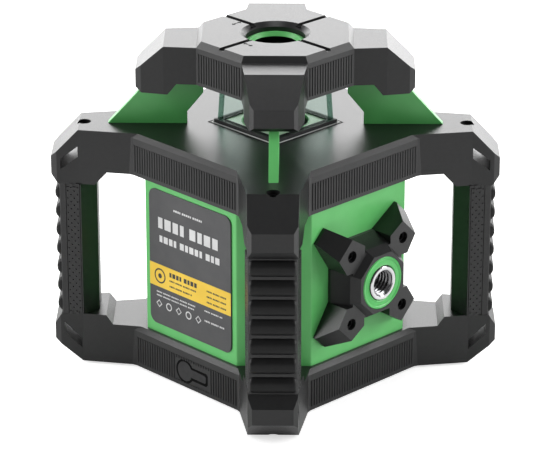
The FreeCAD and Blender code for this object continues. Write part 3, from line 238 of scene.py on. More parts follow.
# Each surface varies between a dark and a light colour and over a range of roughness. grain is the
# scale and depth the height, in metres, of the fine noise in its normal.
SURFACES = {
    "green_plastic": dict(dark=(0.115, 0.50, 0.135), light=(0.13, 0.55, 0.155), rough=(0.30, 0.38),
                          grain=2600, depth=0.00002),
    "green_disc": dict(dark=(0.06, 0.42, 0.085), light=(0.08, 0.50, 0.11), rough=(0.28, 0.40),
                       grain=1500, depth=0.00002, coat=0.2),
    "black_plastic": dict(dark=(0.0105, 0.0105, 0.011), light=(0.0135, 0.0135, 0.014),
                          rough=(0.30, 0.35), grain=2600, depth=0.00005, blotch=400),
    "grip_rubber": dict(dark=(0.0035, 0.0035, 0.0037), light=(0.0055, 0.0055, 0.0058),
                        rough=(0.42, 0.50), grain=2400, depth=0.00005, specular=0.3),
    "rubber": dict(dark=(0.012, 0.012, 0.013), light=(0.018, 0.018, 0.019), rough=(0.55, 0.68),
                   grain=2200, depth=0.00004),
    "black_steel": dict(dark=(0.012, 0.012, 0.013), light=(0.02, 0.02, 0.021), rough=(0.30, 0.42),
                        grain=2500, depth=0.00002, metal=0.6),
    "zinc_steel": dict(dark=(0.46, 0.46, 0.47), light=(0.58, 0.58, 0.60), rough=(0.26, 0.38),
                       grain=1600, depth=0.00002, metal=1.0),
    "bright_steel": dict(dark=(0.66, 0.66, 0.67), light=(0.78, 0.78, 0.79), rough=(0.12, 0.22),
                         grain=900, depth=0.00001, metal=1.0),
    "alloy": dict(dark=(0.46, 0.46, 0.47), light=(0.58, 0.58, 0.59), rough=(0.38, 0.52), grain=1300,
                  depth=0.00004, metal=0.9),
    "label_grey": dict(dark=(0.058, 0.058, 0.061), light=(0.070, 0.070, 0.073), rough=(0.42, 0.52),
                       grain=1500, depth=0.00001),
    "pale_plastic": dict(dark=(0.55, 0.70, 0.52), light=(0.66, 0.80, 0.62), rough=(0.36, 0.46),
                         grain=1800, depth=0.00002),
    "panel_grey": dict(dark=(0.036, 0.036, 0.039), light=(0.046, 0.046, 0.050), rough=(0.40, 0.50),
                       grain=2600, depth=0.00003),
    "key_rubber": dict(dark=(0.085, 0.085, 0.09), light=(0.11, 0.11, 0.115), rough=(0.52, 0.62),
                       grain=2400, depth=0.00003),
    "light_lens": dict(dark=(0.55, 0.56, 0.52), light=(0.68, 0.69, 0.65), rough=(0.10, 0.20),
                       grain=1200, depth=0.00002, coat=0.6),
    "red_lens": dict(dark=(0.10, 0.006, 0.008), light=(0.15, 0.012, 0.014), rough=(0.06, 0.14),
                     grain=1000, depth=0.00001, coat=0.8),
    "board_green": dict(dark=(0.012, 0.11, 0.04), light=(0.02, 0.17, 0.06), rough=(0.30, 0.42),
                        grain=1200, depth=0.00003),
    "inner_plastic": dict(dark=(0.022, 0.022, 0.024), light=(0.034, 0.034, 0.036),
                          rough=(0.45, 0.58), grain=1900, depth=0.00003),
    "battery_wrap": dict(dark=(0.03, 0.09, 0.24), light=(0.05, 0.13, 0.31), rough=(0.24, 0.34),
                         grain=700, depth=0.00003),
    "brass": dict(dark=(0.52, 0.36, 0.13), light=(0.66, 0.48, 0.20), rough=(0.22, 0.34), grain=1500,
                  depth=0.00002, metal=1.0),
    "white_plastic": dict(dark=(0.66, 0.67, 0.66), light=(0.76, 0.77, 0.76), rough=(0.30, 0.40),
                          grain=1800, depth=0.00002),
    "grip_core": dict(dark=(0.016, 0.016, 0.0165), light=(0.021, 0.021, 0.0215), rough=(0.32, 0.40),
                      grain=2400, depth=0.00005, blotch=300),
    # Lighter copies of the black and green plastics for rounded edges: painted highlights.
    "black_edge_highlight": dict(dark=(0.030, 0.030, 0.031), light=(0.044, 0.044, 0.045), rough=(0.28, 0.36),
                       grain=2600, depth=0.00004, blotch=500),
    "green_edge_highlight": dict(dark=(0.24, 0.66, 0.26), light=(0.30, 0.74, 0.32), rough=(0.28, 0.36),
                       grain=2600, depth=0.00002, blotch=500),
    # A darker copy of the bright steel for the thread in the bore: painted shade.
    "shaded_thread_steel": dict(dark=(0.20, 0.20, 0.205), light=(0.30, 0.30, 0.31), rough=(0.16, 0.26),
                         grain=900, depth=0.00001, metal=1.0),
    "shadow_gap": dict(dark=(0.003, 0.003, 0.003), light=(0.005, 0.005, 0.005), rough=(0.85, 0.95),
                       grain=2000, depth=0.00002, specular=0.1),
    "print_white": dict(dark=(0.62, 0.62, 0.62), light=(0.72, 0.72, 0.72), rough=(0.45, 0.55),
                        grain=2500, depth=0.00001),
    "print_yellow": dict(dark=(0.80, 0.52, 0.035), light=(0.88, 0.60, 0.06), rough=(0.42, 0.52),
                         grain=2500, depth=0.00001),
    "print_dark": dict(dark=(0.02, 0.02, 0.021), light=(0.03, 0.03, 0.031), rough=(0.45, 0.55),
                       grain=2500, depth=0.00001),
}

# Walls that light goes through.
CLEAR_WALLS = {
    "window_glass": dict(tint=(0.96, 1.0, 0.98), share=0.02),
    "glass_edge": dict(tint=(0.52, 0.66, 0.60), share=0.12, rough=0.25),
    "vial_glass": dict(tint=(0.80, 0.93, 0.66), share=0.18),
}


def make_materials():
    made = {name: finish(name, **values) for name, values in SURFACES.items()}
    made.update((name, clear(name, **values)) for name, values in CLEAR_WALLS.items())
    return made


# ---- mesh helpers --------------------------------------------------------------------------

def link_mesh(name, bm, smooth=None):
    """A new object from a bmesh. smooth is the angle up to which edges shade smoothly."""
    mesh = bpy.data.meshes.new(name)
    bm.normal_update()
    bm.to_mesh(mesh)
    bm.free()
    if smooth is not None:
        mesh.shade_smooth()
        mesh.set_sharp_from_angle(angle=math.radians(smooth))
    made = bpy.data.objects.new(name, mesh)
    bpy.context.scene.collection.objects.link(made)
    if smooth is not None:
        shading = made.modifiers.new("even_shading", "WEIGHTED_NORMAL")
        shading.keep_sharp = True
    return made


def settle(piece, slot, body="chassis", material=None, replaces=()):
    """Material and body of a new piece, the material being that of its record slot unless one is
    given, and the CAD nodes that it stands for, which are hidden.
    """
    piece.data.materials.clear()
    piece.data.materials.append(materials[material or slot])
    if replaces:
        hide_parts(*replaces)
    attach(piece, body)


def slot_of(node):
    return next(part["material_slot"] for part in frame["record"]["subparts"]
                if part["node"] == node)


def body_of(node):
    bodies = frame["record"]["behaviour"]["bodies"]
    return next(body for body, members in bodies.items() if node in members)


# The rounded edges of these materials take a lighter copy of it: a painted highlight along every
# edge.
EDGES = {"black_plastic": "black_edge_highlight", "green_plastic": "green_edge_highlight"}


def cut_back(bm, edges, width, segments, profile):
    """Bevel edges; the new faces take the second material, a painted highlight for the black and
    green plastics.
    """
    bmesh.ops.bevel(bm, geom=edges, offset=width * MM, segments=segments, profile=profile,
                    affect="EDGES", clamp_overlap=True, loop_slide=False, material=1)


def finished(node, width, angle=28, shortest=1.2, wide=(), smooth=12, cuts=()):
    """A copy of a CAD node whose sharp edges are rounded, in place of the node itself.

    Edges are sharp above angle, in degrees, and those up to shortest mm long are left alone.
    wide lists (test, width) pairs: edges that pass the test are cut back first, by that width.
    smooth is the angle, in degrees, up to which faces shade as one. cuts are the normals of planes
    through the middle that divide flat faces, so that no face goes all the way round a hole.
    """
    bm = bmesh.new()
    bm.from_mesh(frame["nodes"][node].data)
    bmesh.ops.remove_doubles(bm, verts=bm.verts, dist=2e-6)
    for normal in cuts:
        halves = bmesh.ops.bisect_plane(bm, geom=bm.verts[:] + bm.edges[:] + bm.faces[:], dist=1e-7,
                                        plane_co=(0, 0, 0), plane_no=normal)
        for item in halves["geom_cut"]:
            if isinstance(item, bmesh.types.BMEdge):
                item.seam = True
    bmesh.ops.dissolve_limit(bm, angle_limit=math.radians(0.6), verts=bm.verts, edges=bm.edges,
                             delimit={"SEAM"})
    for test, wide_width in wide:
        cut_back(bm, [edge for edge in bm.edges if edge.is_manifold and test(edge)
                      and edge.calc_face_angle(0) > math.radians(25)],
                 wide_width, segments=1, profile=0.5)
    cut_back(bm, [edge for edge in bm.edges
                  if edge.is_manifold and edge.calc_length() > shortest * MM
                  and edge.calc_face_angle(0) > math.radians(angle)],
             width, segments=2, profile=0.6)
    piece = link_mesh(node + "_finish", bm, smooth=smooth)
    slot = slot_of(node)
    settle(piece, slot, body_of(node), replaces=[node])
    # The bevels take a lighter copy of the material where there is one: a painted edge highlight.
    piece.data.materials.append(materials[EDGES.get(slot, slot)])


def about_z(turn):
    return Matrix.Rotation(math.radians(turn), 4, "Z")


def outward(turn):
    """The level direction at that many degrees from +X."""
    return about_z(turn).col[0].to_3d()


def spot(place, u, v, w=0.0):
    """That place, moved by u, v, w mm along its own axes."""
    return place @ Matrix.Translation(Vector((u, v, w)) * MM)


def level(bm, place, outline, w):
    """New vertices at the outline's corners, w mm up the place's own third axis."""
    return [bm.verts.new(place @ (Vector((u, v, w)) * MM)) for u, v in outline]


def walls(bm, rows):
    """Faces between rows of as many vertices each, all the way round."""
    count = len(rows[0])
    for first, second in zip(rows, rows[1:]):
        for i in range(count):
            j = (i + 1) % count
            bm.faces.new((first[i], first[j], second[j], second[i]))


def stack(bm, rows):
    """A closed solid from its outlines, lowest first."""
    walls(bm, rows)
    bm.faces.new(rows[-1])
    bm.faces.new(list(reversed(rows[0])))


def prism(bm, outline, place, low, high, edge=0.0):
    """An extruded outline, with its top edge cut back by edge. place maps u, v, w to the frame."""
    count = len(outline)
    centre = Vector((sum(u for u, v in outline) / count, sum(v for u, v in outline) / count))
    levels = [(low, 0.0), (high - edge, 0.0)] + ([(high, edge)] if edge else [])
    rows = []
    for height, inset in levels:
        arms = [Vector(corner) - centre for corner in outline]
        drawn_in = [centre + arm.normalized() * max(arm.length - inset * 1.3, 0.0) for arm in arms]
        rows.append(level(bm, place, drawn_in, height))
    stack(bm, rows)


def on_ring(radius, degrees):
    turn = math.radians(degrees)
    return radius * math.cos(turn), radius * math.sin(turn)


def box_outline(u0, u1, v0, v1, radius=0.0, steps=5):
    """A rectangle, counter-clockwise, with round corners."""
    if not radius:
        return [(u0, v0), (u1, v0), (u1, v1), (u0, v1)]
    points = []
    for cu, cv, start in ((u1 - radius, v1 - radius, 0), (u0 + radius, v1 - radius, 90),
                          (u0 + radius, v0 + radius, 180), (u1 - radius, v0 + radius, 270)):
        for step in range(steps + 1):
            a, b = on_ring(radius, start + 90 * step / steps)
            points.append((cu + a, cv + b))
    return points


def face_place(turn, reach):
    """u runs right along a face, v runs up and w out of it; reach is the face's distance in mm."""
    out = outward(turn)
    place = Matrix((Z_AXIS.cross(out), Z_AXIS, out)).transposed().to_4x4()
    return Matrix.Translation(out * reach * MM) @ place


def rings(bm, profile, place, columns, closed=False):
    """A surface of stacked rings. profile lists (radius, height); a radius may be a function of the
    angle, and 0 closes the surface to a point. closed joins the last ring to the first."""
    rows = []
    for radius, height in profile:
        if radius == 0:
            rows.append([bm.verts.new(place @ Vector((0, 0, height * MM)))])
            continue
        row = []
        for i in range(columns):
            turn = 2 * math.pi * i / columns
            far = radius(turn) if callable(radius) else radius
            row.append(bm.verts.new(place @ Vector((far * math.cos(turn) * MM,
                                                    far * math.sin(turn) * MM, height * MM))))
        rows.append(row)
    pairs = list(zip(rows, rows[1:])) + ([(rows[-1], rows[0])] if closed else [])
    for first, second in pairs:
        for i in range(columns):
            j = (i + 1) % columns
            ring = [first[i % len(first)], first[j % len(first)],
                    second[j % len(second)], second[i % len(second)]]
            bm.faces.new(list(dict.fromkeys(ring)))
    bmesh.ops.recalc_face_normals(bm, faces=bm.faces)


def hexagon(across):
    """Radius of a hexagon of that width across its flats, as a function of the angle."""
    def radius(turn):
        return across / 2 / math.cos((turn + math.pi / 6) % (math.pi / 3) - math.pi / 6)
    return radius


# ---- shock frames, cap and their ribs ------------------------------------------------------

# Where the frames' arms begin, slope and end along the arm, and how far their sides lie from its
# middle line.
ROOT_ALONG, ROOT_SIDE, ROOT_SLACK = 81.6, 19.5, 0.4
SLOPE_ALONG, END_ALONG = 111.5, 124
SIDE_LOW, SIDE_HIGH = 11, 14.6


def arm_frame(point):
    """Distance along the nearest arm and sideways from its middle line, in mm."""
    along = (abs(point.x) + abs(point.y)) / math.sqrt(2) / MM
    side = (abs(point.x) - abs(point.y)) / math.sqrt(2) / MM
    return along, side


def is_upright(edge):
    return abs(edge.verts[0].co.z - edge.verts[1].co.z) > 0.5 * MM


def is_arm_corner(edge):
    """An edge that runs down the side of an arm's end or of its sloping face."""
    ends = [arm_frame(vertex.co) for vertex in edge.verts]
    beside = all(along > SLOPE_ALONG and SIDE_LOW < abs(side) < SIDE_HIGH for along, side in ends)
    return beside and max(along for along, side in ends) > END_ALONG and is_upright(edge)


def is_arm_root(edge):
    """The upright edge where an arm leaves the ribbed face."""
    ends = [arm_frame(vertex.co) for vertex in edge.verts]
    return is_upright(edge) and all(abs(along - ROOT_ALONG) < ROOT_SLACK
                                    and abs(abs(side) - ROOT_SIDE) < ROOT_SLACK
                                    for along, side in ends)


def make_frames():
    along_faces_and_arms = ((1, 0, 0), (0, 1, 0), (1, 1, 0), (1, -1, 0))
    for node in ("upper_frame", "lower_frame"):
        finished(node, width=0.8, wide=((is_arm_corner, 2.4), (is_arm_root, 1.5)), smooth=5,
                 cuts=along_faces_and_arms)


def ribbed(name, turns, reach, half, low, high, gap=None, pitch=2.05):
    """Fine upright ribs on flat faces. gap is a (u0, u1, v0, v1) box that ribs stay out of."""
    bm = bmesh.new()
    count = int(2 * half / pitch)
    for turn in turns:
        place = face_place(turn, reach)
        for i in range(count + 1):
            u = (i - count / 2) * pitch
            spans = [(low, high)]
            if gap and gap[0] < u < gap[1]:
                spans = [(low, gap[2]), (gap[3], high)]
            for v0, v1 in spans:
                rib(bm, place, u, v0, v1, foot=pitch * 0.33, crown=pitch * 0.16)
    settle(link_mesh(name, bm), "black_plastic")


def rib(bm, place, u, v0, v1, foot, crown, tall=0.45, sunk=0.2):
    """One rib with sloping sides and ends; foot and crown are half its widths."""
    low = [(u - foot, v0), (u + foot, v0), (u + foot, v1), (u - foot, v1)]
    slope = foot - crown
    top = [(u - crown, v0 + slope), (u + crown, v0 + slope), (u + crown, v1 - slope),
           (u - crown, v1 - slope)]
    stack(bm, [level(bm, place, low, -sunk), level(bm, place, top, tall)])


def make_ribs():
    band_half, upper, lower = 41.6, (122.2, 138.6), (3.4, 19.6)
    cap_half, cap = 16.4, (175.4, 192.6)
    flap_box = (-9.5, 18.5, 4.4, 17.6)
    ribbed("upper_ribs", FACE_TURNS, BAND_REACH, band_half, *upper)
    ribbed("lower_ribs", (MOUNT_TURN, DOOR_TURN, KEYPAD_TURN), BAND_REACH, band_half, *lower)
    ribbed("lower_ribs_front", (LABEL_TURN,), BAND_REACH, band_half, *lower, gap=flap_box)
    ribbed("cap_ribs", FACE_TURNS, CAP_REACH, cap_half, *cap)


CAP_TOP, GROOVE_FLOOR = 199.0, 197.7


def make_cap():
    """The cap and its fins, a green ring in its hole, and dark floors in its grooves."""
    finished("top_cap", width=0.8)
    finished("cap_fins", width=0.35)
    ring = bmesh.new()
    rings(ring, [(16.9, 192.3), (16.9, 193.6), (14.9, 194.6), (14.2, 194.6), (12.4, 192.3)],
          AT_MIDDLE, columns=72, closed=True)
    settle(link_mesh("cap_ring", ring, smooth=35), "green_plastic")
    groove_in, groove_out, groove_half = 17.4, 41.2, 1.6
    grooves = bmesh.new()
    for turn in FACE_TURNS:
        prism(grooves, box_outline(groove_in, groove_out, -groove_half, groove_half),
              about_z(turn), GROOVE_FLOOR, GROOVE_FLOOR + 0.3)
    settle(link_mesh("cap_groove_floors", grooves), "black_plastic", material="shadow_gap")
    mark_out, mark_side = 26.5, 5.2
    marks = bmesh.new()
    for turn in (LABEL_TURN, KEYPAD_TURN):
        for flip in (0, 180):
            arrow(marks, spot(about_z(turn), mark_out, mark_side) @ about_z(flip))
    settle(link_mesh("cap_marks", marks), "black_plastic", material="shadow_gap")


def arrow(bm, place, length=3.6, half=0.4, head=1.7, start=0.2):
    """Half of a small double arrow on the cap, a shaft and a head along +Y."""
    neck = length - head
    for outline in (box_outline(-half, half, start, neck),
                    [(-head * 0.8, neck), (head * 0.8, neck), (0, length)]):
        prism(bm, outline, place, CAP_TOP - 0.1, CAP_TOP + 0.04)


# ---- window --------------------------------------------------------------------------------

def make_window():
    """Greenish edges where the panes meet, lines round the gasket, the pale one a painted
    highlight, and a rim round the hole.
    """
    settle(link_mesh("window_corners", pane_corners()), "window_glass", material="glass_edge")
    # The first band is pale and stands for the highlight along the frame's lip: a painted
    # highlight.
    for name, inner, outer, top, slot, material in (
            ("window_highlight_line", 25.5, 26.1, 145.1, "white_plastic", "white_plastic"),
            ("window_lip", 26.9, 27.3, 144.95, "black_plastic", "shadow_gap")):
        band = bmesh.new()
        square_band(band, inner, outer, 144.6, top)
        settle(link_mesh(name, band), slot, material=material)
    rim = bmesh.new()
    rings(rim, [(19.5, 144.9), (19.5, 146.3), (18.9, 146.3), (18.4, 144.9)], AT_MIDDLE,
          columns=72, closed=True)
    settle(link_mesh("window_hole_rim", rim, smooth=35), "green_plastic")


def pane_corners():
    """Four bars that lean in as the panes do, kite-shaped in plan."""
    foot, head = (23.3, 146.9), (22.1, 171.9)      # half the window's width, and height
    kite = ((-2.0, -2.0), (-0.1, 0), (-2.0, 2.0), (-3.1, 0))
    bm = bmesh.new()
    for turn in ARM_TURNS:
        out = outward(turn)
        side = Z_AXIS.cross(out)
        rows = []
        for half, height in (foot, head):
            corner = out * half * math.sqrt(2) * MM + Z_AXIS * height * MM
            rows.append([bm.verts.new(corner + (out * a + side * b) * MM) for a, b in kite])
        stack(bm, rows)
    bmesh.ops.recalc_face_normals(bm, faces=bm.faces)
    return bm


def square_band(bm, inner, outer, low, high):
    """A flat square ring about Z."""
    for turn in FACE_TURNS:
        prism(bm, [(inner, -inner), (outer, -outer), (outer, outer), (inner, inner)],
              about_z(turn), low, high)


# ---- handles -------------------------------------------------------------------------------

GRIP_LOW, GRIP_HIGH = 31.2, 112
GRIP_END_GAP = 0.05

# Half of a grip's plan: along the arm, and sideways. The shallow recess holds the dimpled strip.
GRIP_PLAN = [(102.2, 7), (111, 15.4), (111.6, 15.31), (111.9, 14.7), (119.5, 13.56), (119.8, 14.08),
             (123, 13.6), (123.5, 13)]
PAD_REACH, PAD_HALF, PAD_HALF_HIGH = 123.3, 13.2, 5


def make_grips(pads=7):
    """Each handle's core, the row of domed pads on its outside and its dimpled strips."""
    pitch = (GRIP_HIGH - GRIP_LOW) / pads
    for number, turn in enumerate(ARM_TURNS, start=1):
        node = "grip_%d" % number
        settle(link_mesh(node + "_finish", grip_core(turn), smooth=30), "grip_rubber",
               material="grip_core", replaces=[node])
        front = bmesh.new()
        for i in range(pads):
            middle = GRIP_LOW + pitch * (i + 0.5)
            pad(front, face_place(turn, PAD_REACH), -PAD_HALF, PAD_HALF, middle - PAD_HALF_HIGH,
                middle + PAD_HALF_HIGH)
        settle(link_mesh(node + "_pads", front, smooth=40), "grip_rubber")
        make_dimples(node, turn)


def grip_core(turn):
    """The grip's plan, extruded between the arms, with its upright corners rounded."""
    bm = bmesh.new()
    outline = [(x, -y) for x, y in GRIP_PLAN] + [(x, y) for x, y in reversed(GRIP_PLAN)]
    prism(bm, outline, about_z(turn), GRIP_LOW + GRIP_END_GAP, GRIP_HIGH - GRIP_END_GAP)
    corners = [edge for edge in bm.edges
               if is_upright(edge) and edge.calc_face_angle(0) > math.radians(35)]
    bmesh.ops.bevel(bm, geom=corners, offset=0.7 * MM, segments=3, profile=0.6, affect="EDGES",
                    clamp_overlap=True)
    return bm


def pad(bm, place, u0, u1, v0, v1, radius=2.6, proud=2.65, sunk=0.4, steps=7):
    """A domed pad: rounded rectangles that draw in as they rise, with a soft crest."""
    rows = []
    for step in range(steps + 1):
        share = step / steps
        inset = 2.6 * (1 - math.cos(share * math.pi / 2)) + 1.9 * share
        height = proud * math.sin(share * math.pi / 2)
        outline = box_outline(u0 + inset * 0.35, u1 - inset * 0.35, v0 + inset, v1 - inset,
                              max(radius - inset * 0.55, 0.2))
        if step == 0:
            rows.append(level(bm, place, outline, -sunk))
        rows.append(level(bm, place, outline, height))
    stack(bm, rows)


def make_dimples(node, turn, columns=4, rows=18, wide=1.9, high=4.4, skirt=0.6):
    """The dimpled strips that fill the shallow recess down both sides of a handle."""
    along, aside, height = 115.7, 14.65, 71.6
    lean = math.atan2(1.8, 12)
    bm = bmesh.new()
    out = outward(turn)
    across = Z_AXIS.cross(out)
    for side in (1, -1):
        normal = out * math.sin(lean) + across * side * math.cos(lean)
        place = Matrix((Z_AXIS.cross(normal), Z_AXIS, normal)).transposed().to_4x4()
        middle = (out * along + across * side * aside + Z_AXIS * height) * MM
        place = Matrix.Translation(middle) @ place
        for column in range(columns):
            u = (column - (columns - 1) / 2) * wide
            shift = high / 4 if column % 2 else -high / 4
            for row in range(rows):
                v = (row - (rows - 1) / 2) * high + shift
                dimple(bm, place, u, v, wide, high)
    bmesh.ops.remove_doubles(bm, verts=bm.verts, dist=1e-6)
    edges = [edge for edge in bm.edges if edge.is_boundary]
    for item in bmesh.ops.extrude_edge_only(bm, edges=edges)["geom"]:
        if isinstance(item, bmesh.types.BMVert):
            item.co -= across * math.copysign(skirt * MM, item.co.dot(across))
    settle(link_mesh(node + "_dimples", bm), "grip_rubber", material="grip_core")


def dimple(bm, place, u, v, wide, high, radius=0.52, deep=0.45):
    """A rectangular cell with an eight-sided dimple in its middle."""
    cell = box_outline(u - wide / 2, u + wide / 2, v - high / 2, v + high / 2)
    corners = level(bm, place, cell, 0)
    around = [on_ring(radius, -135 + 45 * i) for i in range(8)]
    rim = level(bm, place, [(u + a, v + b) for a, b in around], 0)
    floor = level(bm, place, [(u + a * 0.8, v + b * 0.8) for a, b in around], -deep)
    for i in range(4):
        j = (i + 1) % 4
        bm.faces.new((corners[i], corners[j], rim[(2 * i + 2) % 8], rim[2 * i + 1], rim[2 * i]))
    walls(bm, (rim, floor))
    bm.faces.new(floor)


# ---- housing and label ---------------------------------------------------------------------

def make_housing():
    """The shell, whose corners are softer than the other pieces'."""
    finished("housing_shell", width=1.2, angle=20)


# Heights above the floor of the label's recess: the plate, the film of print on it, and the print
# on the band.
PLATE_TOP, PRINT_TOP, BAND_PRINT_TOP = 0.8, 0.86, 0.9

# Lines of print, as left, right, bottom, top and width of a block.
LABEL_LINES = ((-26, 25, 91.6, 98.2, 5.2), (-25, 26, 83.2, 87.2, 3.4),
               (-13, 11, 104.9, 106.1, 1.4),
               (-28, 6, 51.4, 52.2, 1.1), (-28, 4, 49.2, 50.0, 1.1),
               (12, 28, 51.4, 52.2, 1.1), (12, 29, 45.2, 46.2, 1.1))
BAND_LINES = ((-17, 8, 63.6, 66.4, 2.4), (-17, 6, 60.8, 61.8, 1.0), (-17, 2, 57.4, 58.4, 1.0),
              (14, 31, 57.2, 58.2, 1.0), (14, 31, 60.6, 61.6, 1.0), (14, 31, 64, 65, 1.0))


def make_label():
    """The plate, with a yellow band and plain shapes in place of its print."""
    place = face_place(LABEL_TURN, LABEL_REACH)
    plate = bmesh.new()
    prism(plate, box_outline(-33.8, 33.8, 31.5, 114.5, radius=5, steps=8), place, 0, PLATE_TOP,
          edge=0.25)
    settle(link_mesh("label_plate_finish", plate, smooth=30), "label_grey",
           replaces=["label_plate"])
    make_label_symbols(place)
    print_lines("label_print", place, "print_white", LABEL_LINES, PRINT_TOP)
    band = bmesh.new()
    prism(band, box_outline(-33.6, 33.6, 55, 69, radius=0.4, steps=3), place, PLATE_TOP - 0.04,
          PRINT_TOP)
    settle(link_mesh("label_band", band), "label_grey", material="print_yellow")
    mark = bmesh.new()
    ring_middle = spot(place, -25, 62)
    rings(mark, [(4.6, PLATE_TOP), (4.6, BAND_PRINT_TOP), (3.7, BAND_PRINT_TOP), (3.7, PLATE_TOP)],
          ring_middle, columns=48, closed=True)
    rings(mark, [(1.5, PLATE_TOP), (1.5, BAND_PRINT_TOP), (0, BAND_PRINT_TOP)], ring_middle,
          columns=24)
    settle(link_mesh("label_band_mark", mark), "label_grey", material="print_dark")
    print_lines("label_band_print", place, "print_dark", BAND_LINES, BAND_PRINT_TOP)


def make_label_symbols(place, count=5, left=-26, pitch=8.2, height=44.6, outer=2.4, inner=1.7):
    """A row of small rings and diamonds."""
    bm = bmesh.new()
    for i in range(count):
        rings(bm, [(outer, PRINT_TOP - 0.16), (outer, PRINT_TOP), (inner, PRINT_TOP),
                   (inner, PRINT_TOP - 0.16)], spot(place, left + pitch * i, height),
              columns=40 if i % 2 else 4, closed=True)
    settle(link_mesh("label_symbols", bm), "label_grey", material="print_white")


def text_line(u0, u1, v0, v1, wide):
    """A line of plain blocks of uneven width, which stands for a line of print."""
    shares = (0.7, 1.0, 0.85, 0.6, 0.95)
    word_end, word_gap, letter_gap = 3, 0.9, 0.32
    blocks = []
    u = u0
    while u + wide < u1:
        index = len(blocks) % len(shares)
        blocks.append(box_outline(u, u + wide * shares[index], v0, v1))
        u += wide * (shares[index] + (word_gap if index == word_end else letter_gap))
    return blocks


def print_lines(name, place, material, lines, top):
    """Plain printed blocks, a film on the label."""
    bm = bmesh.new()
    for line in lines:
        for outline in text_line(*line):
            prism(bm, outline, place, top - 0.1, top)
    settle(link_mesh(name, bm), "label_grey", material=material)


# ---- tripod mounts -------------------------------------------------------------------------

# The thread is 5/8 inch-11: its radii and pitch, and the radius of the bush's mouth.
THREAD_MINOR, THREAD_MAJOR, THREAD_PITCH = 6.5, 7.94, 2.309
MOUTH = 7.6
COLLAR_DEEP = 1.2
BUSH_RADIUS, COLLAR_RADIUS = 10.2, 9.9

# The side mount: how far out its face and its screws' heads lie, and the height of its middle.
MOUNT_REACH, MOUNT_SCREW_REACH, MOUNT_HIGH = 86.7, 79.8, 71.3
BASE_BUSH_HIGH = 1.2


def collar(name, place, edge=0.4):
    """The turned face of a threaded bush."""
    bm = bmesh.new()
    rings(bm, [(COLLAR_RADIUS, -COLLAR_DEEP), (COLLAR_RADIUS, -edge), (COLLAR_RADIUS - edge, 0),
               (MOUTH + edge, 0), (MOUTH, -edge), (MOUTH, -COLLAR_DEEP)], place, columns=72,
          closed=True)
    settle(link_mesh(name, bm, smooth=25), "bright_steel")


def threaded(name, place, length, node, steps_a_turn=10):
    """The bush behind its collar, whose bore carries a helical thread; w runs out of its mouth."""
    def wall(height):
        def radius(turn):
            share = (height / THREAD_PITCH - turn / (2 * math.pi)) % 1
            crest = 1 - min(1, 1.25 * abs(2 * share - 1))
            return THREAD_MINOR + (THREAD_MAJOR - THREAD_MINOR) * crest
        return radius
    steps = int(length / THREAD_PITCH * steps_a_turn)
    heights = [-COLLAR_DEEP - (length - COLLAR_DEEP) * i / steps for i in range(steps + 1)]
    profile = [(BUSH_RADIUS, -length), (BUSH_RADIUS, -COLLAR_DEEP)]
    profile += [(wall(height), height) for height in heights]
    bm = bmesh.new()
    rings(bm, profile, place, columns=72, closed=True)
    # The thread takes the darker steel: painted shade inside the bore.
    settle(link_mesh(name, bm, smooth=25), "bright_steel", material="shaded_thread_steel",
           replaces=[node])


def make_mounts():
    """The star, both threaded bushes, and the disc with a dark gap on each side of it."""
    finished("star_mount", width=0.9)
    side = spot(face_place(MOUNT_TURN, MOUNT_REACH), 0, MOUNT_HIGH)
    threaded("side_thread_finish", side, 24.7, "side_thread_insert")
    collar("side_thread_collar", side)
    under = spot(AT_MIDDLE, 0, 0, BASE_BUSH_HIGH) @ Matrix.Rotation(math.pi, 4, "X")
    threaded("base_thread_finish", under, 20.8, "base_thread_insert")
    collar("base_thread_collar", under)
    gaps = bmesh.new()
    for inner, outer, sunk in ((9.9, 10.35, 0), (15.4, 16, 2.2)):
        rings(gaps, [(inner, -1.3), (inner, -0.8), (outer, -0.8), (outer, -1.3)],
              spot(side, 0, 0, -sunk), columns=72, closed=True)
    settle(link_mesh("side_disc_gaps", gaps), "green_disc", material="shadow_gap")
    make_side_disc(side)


def make_side_disc(place):
    """The green disc, with a thin raised rim round its edge and a turned face."""
    inner, outer, back, face = 10.25, 15.4, -3.1, -0.9
    profile = [(inner, back), (inner, face), (10.9, -0.5), (11.6, face), (13.6, face),
               (14.0, -0.55), (14.9, -0.4), (outer, face), (outer, back)]
    bm = bmesh.new()
    rings(bm, profile, place, columns=64, closed=True)
    settle(link_mesh("side_disc_finish", bm, smooth=35), "green_disc", replaces=["side_disc"])


# ---- rotor, flap, keypad, battery door and fasteners ---------------------------------------

def make_rotor():
    """The rotor's base and head, and the pale band round the head."""
    finished("rotor_base", width=0.4)
    finished("rotor_head", width=0.5)
    band = bmesh.new()
    rings(band, [(15.5, 152), (15.75, 152.3), (15.75, 154.7), (15.5, 155), (15.2, 153.5)],
          AT_MIDDLE, columns=64, closed=True)
    settle(link_mesh("rotor_band", band, smooth=40), "white_plastic", body="rotor")


def lid_outline(grow, u=-0.9, v=11.0, radius=5.9, half=2.6, end=16.6, corner=1.2, steps=24):
    """The flap's outline, grown all round: a round lid with a tab towards its hinge."""
    radius, half, end = radius + grow, half + grow, end + grow
    start = math.degrees(math.asin(half / radius))
    points = []
    for step in range(steps + 1):
        a, b = on_ring(radius, start + (360 - 2 * start) * step / steps)
        points.append((u + a, v + b))
    return points + [(end - corner, v - half), (end, v - half + corner),
                     (end, v + half - corner), (end - corner, v + half)]


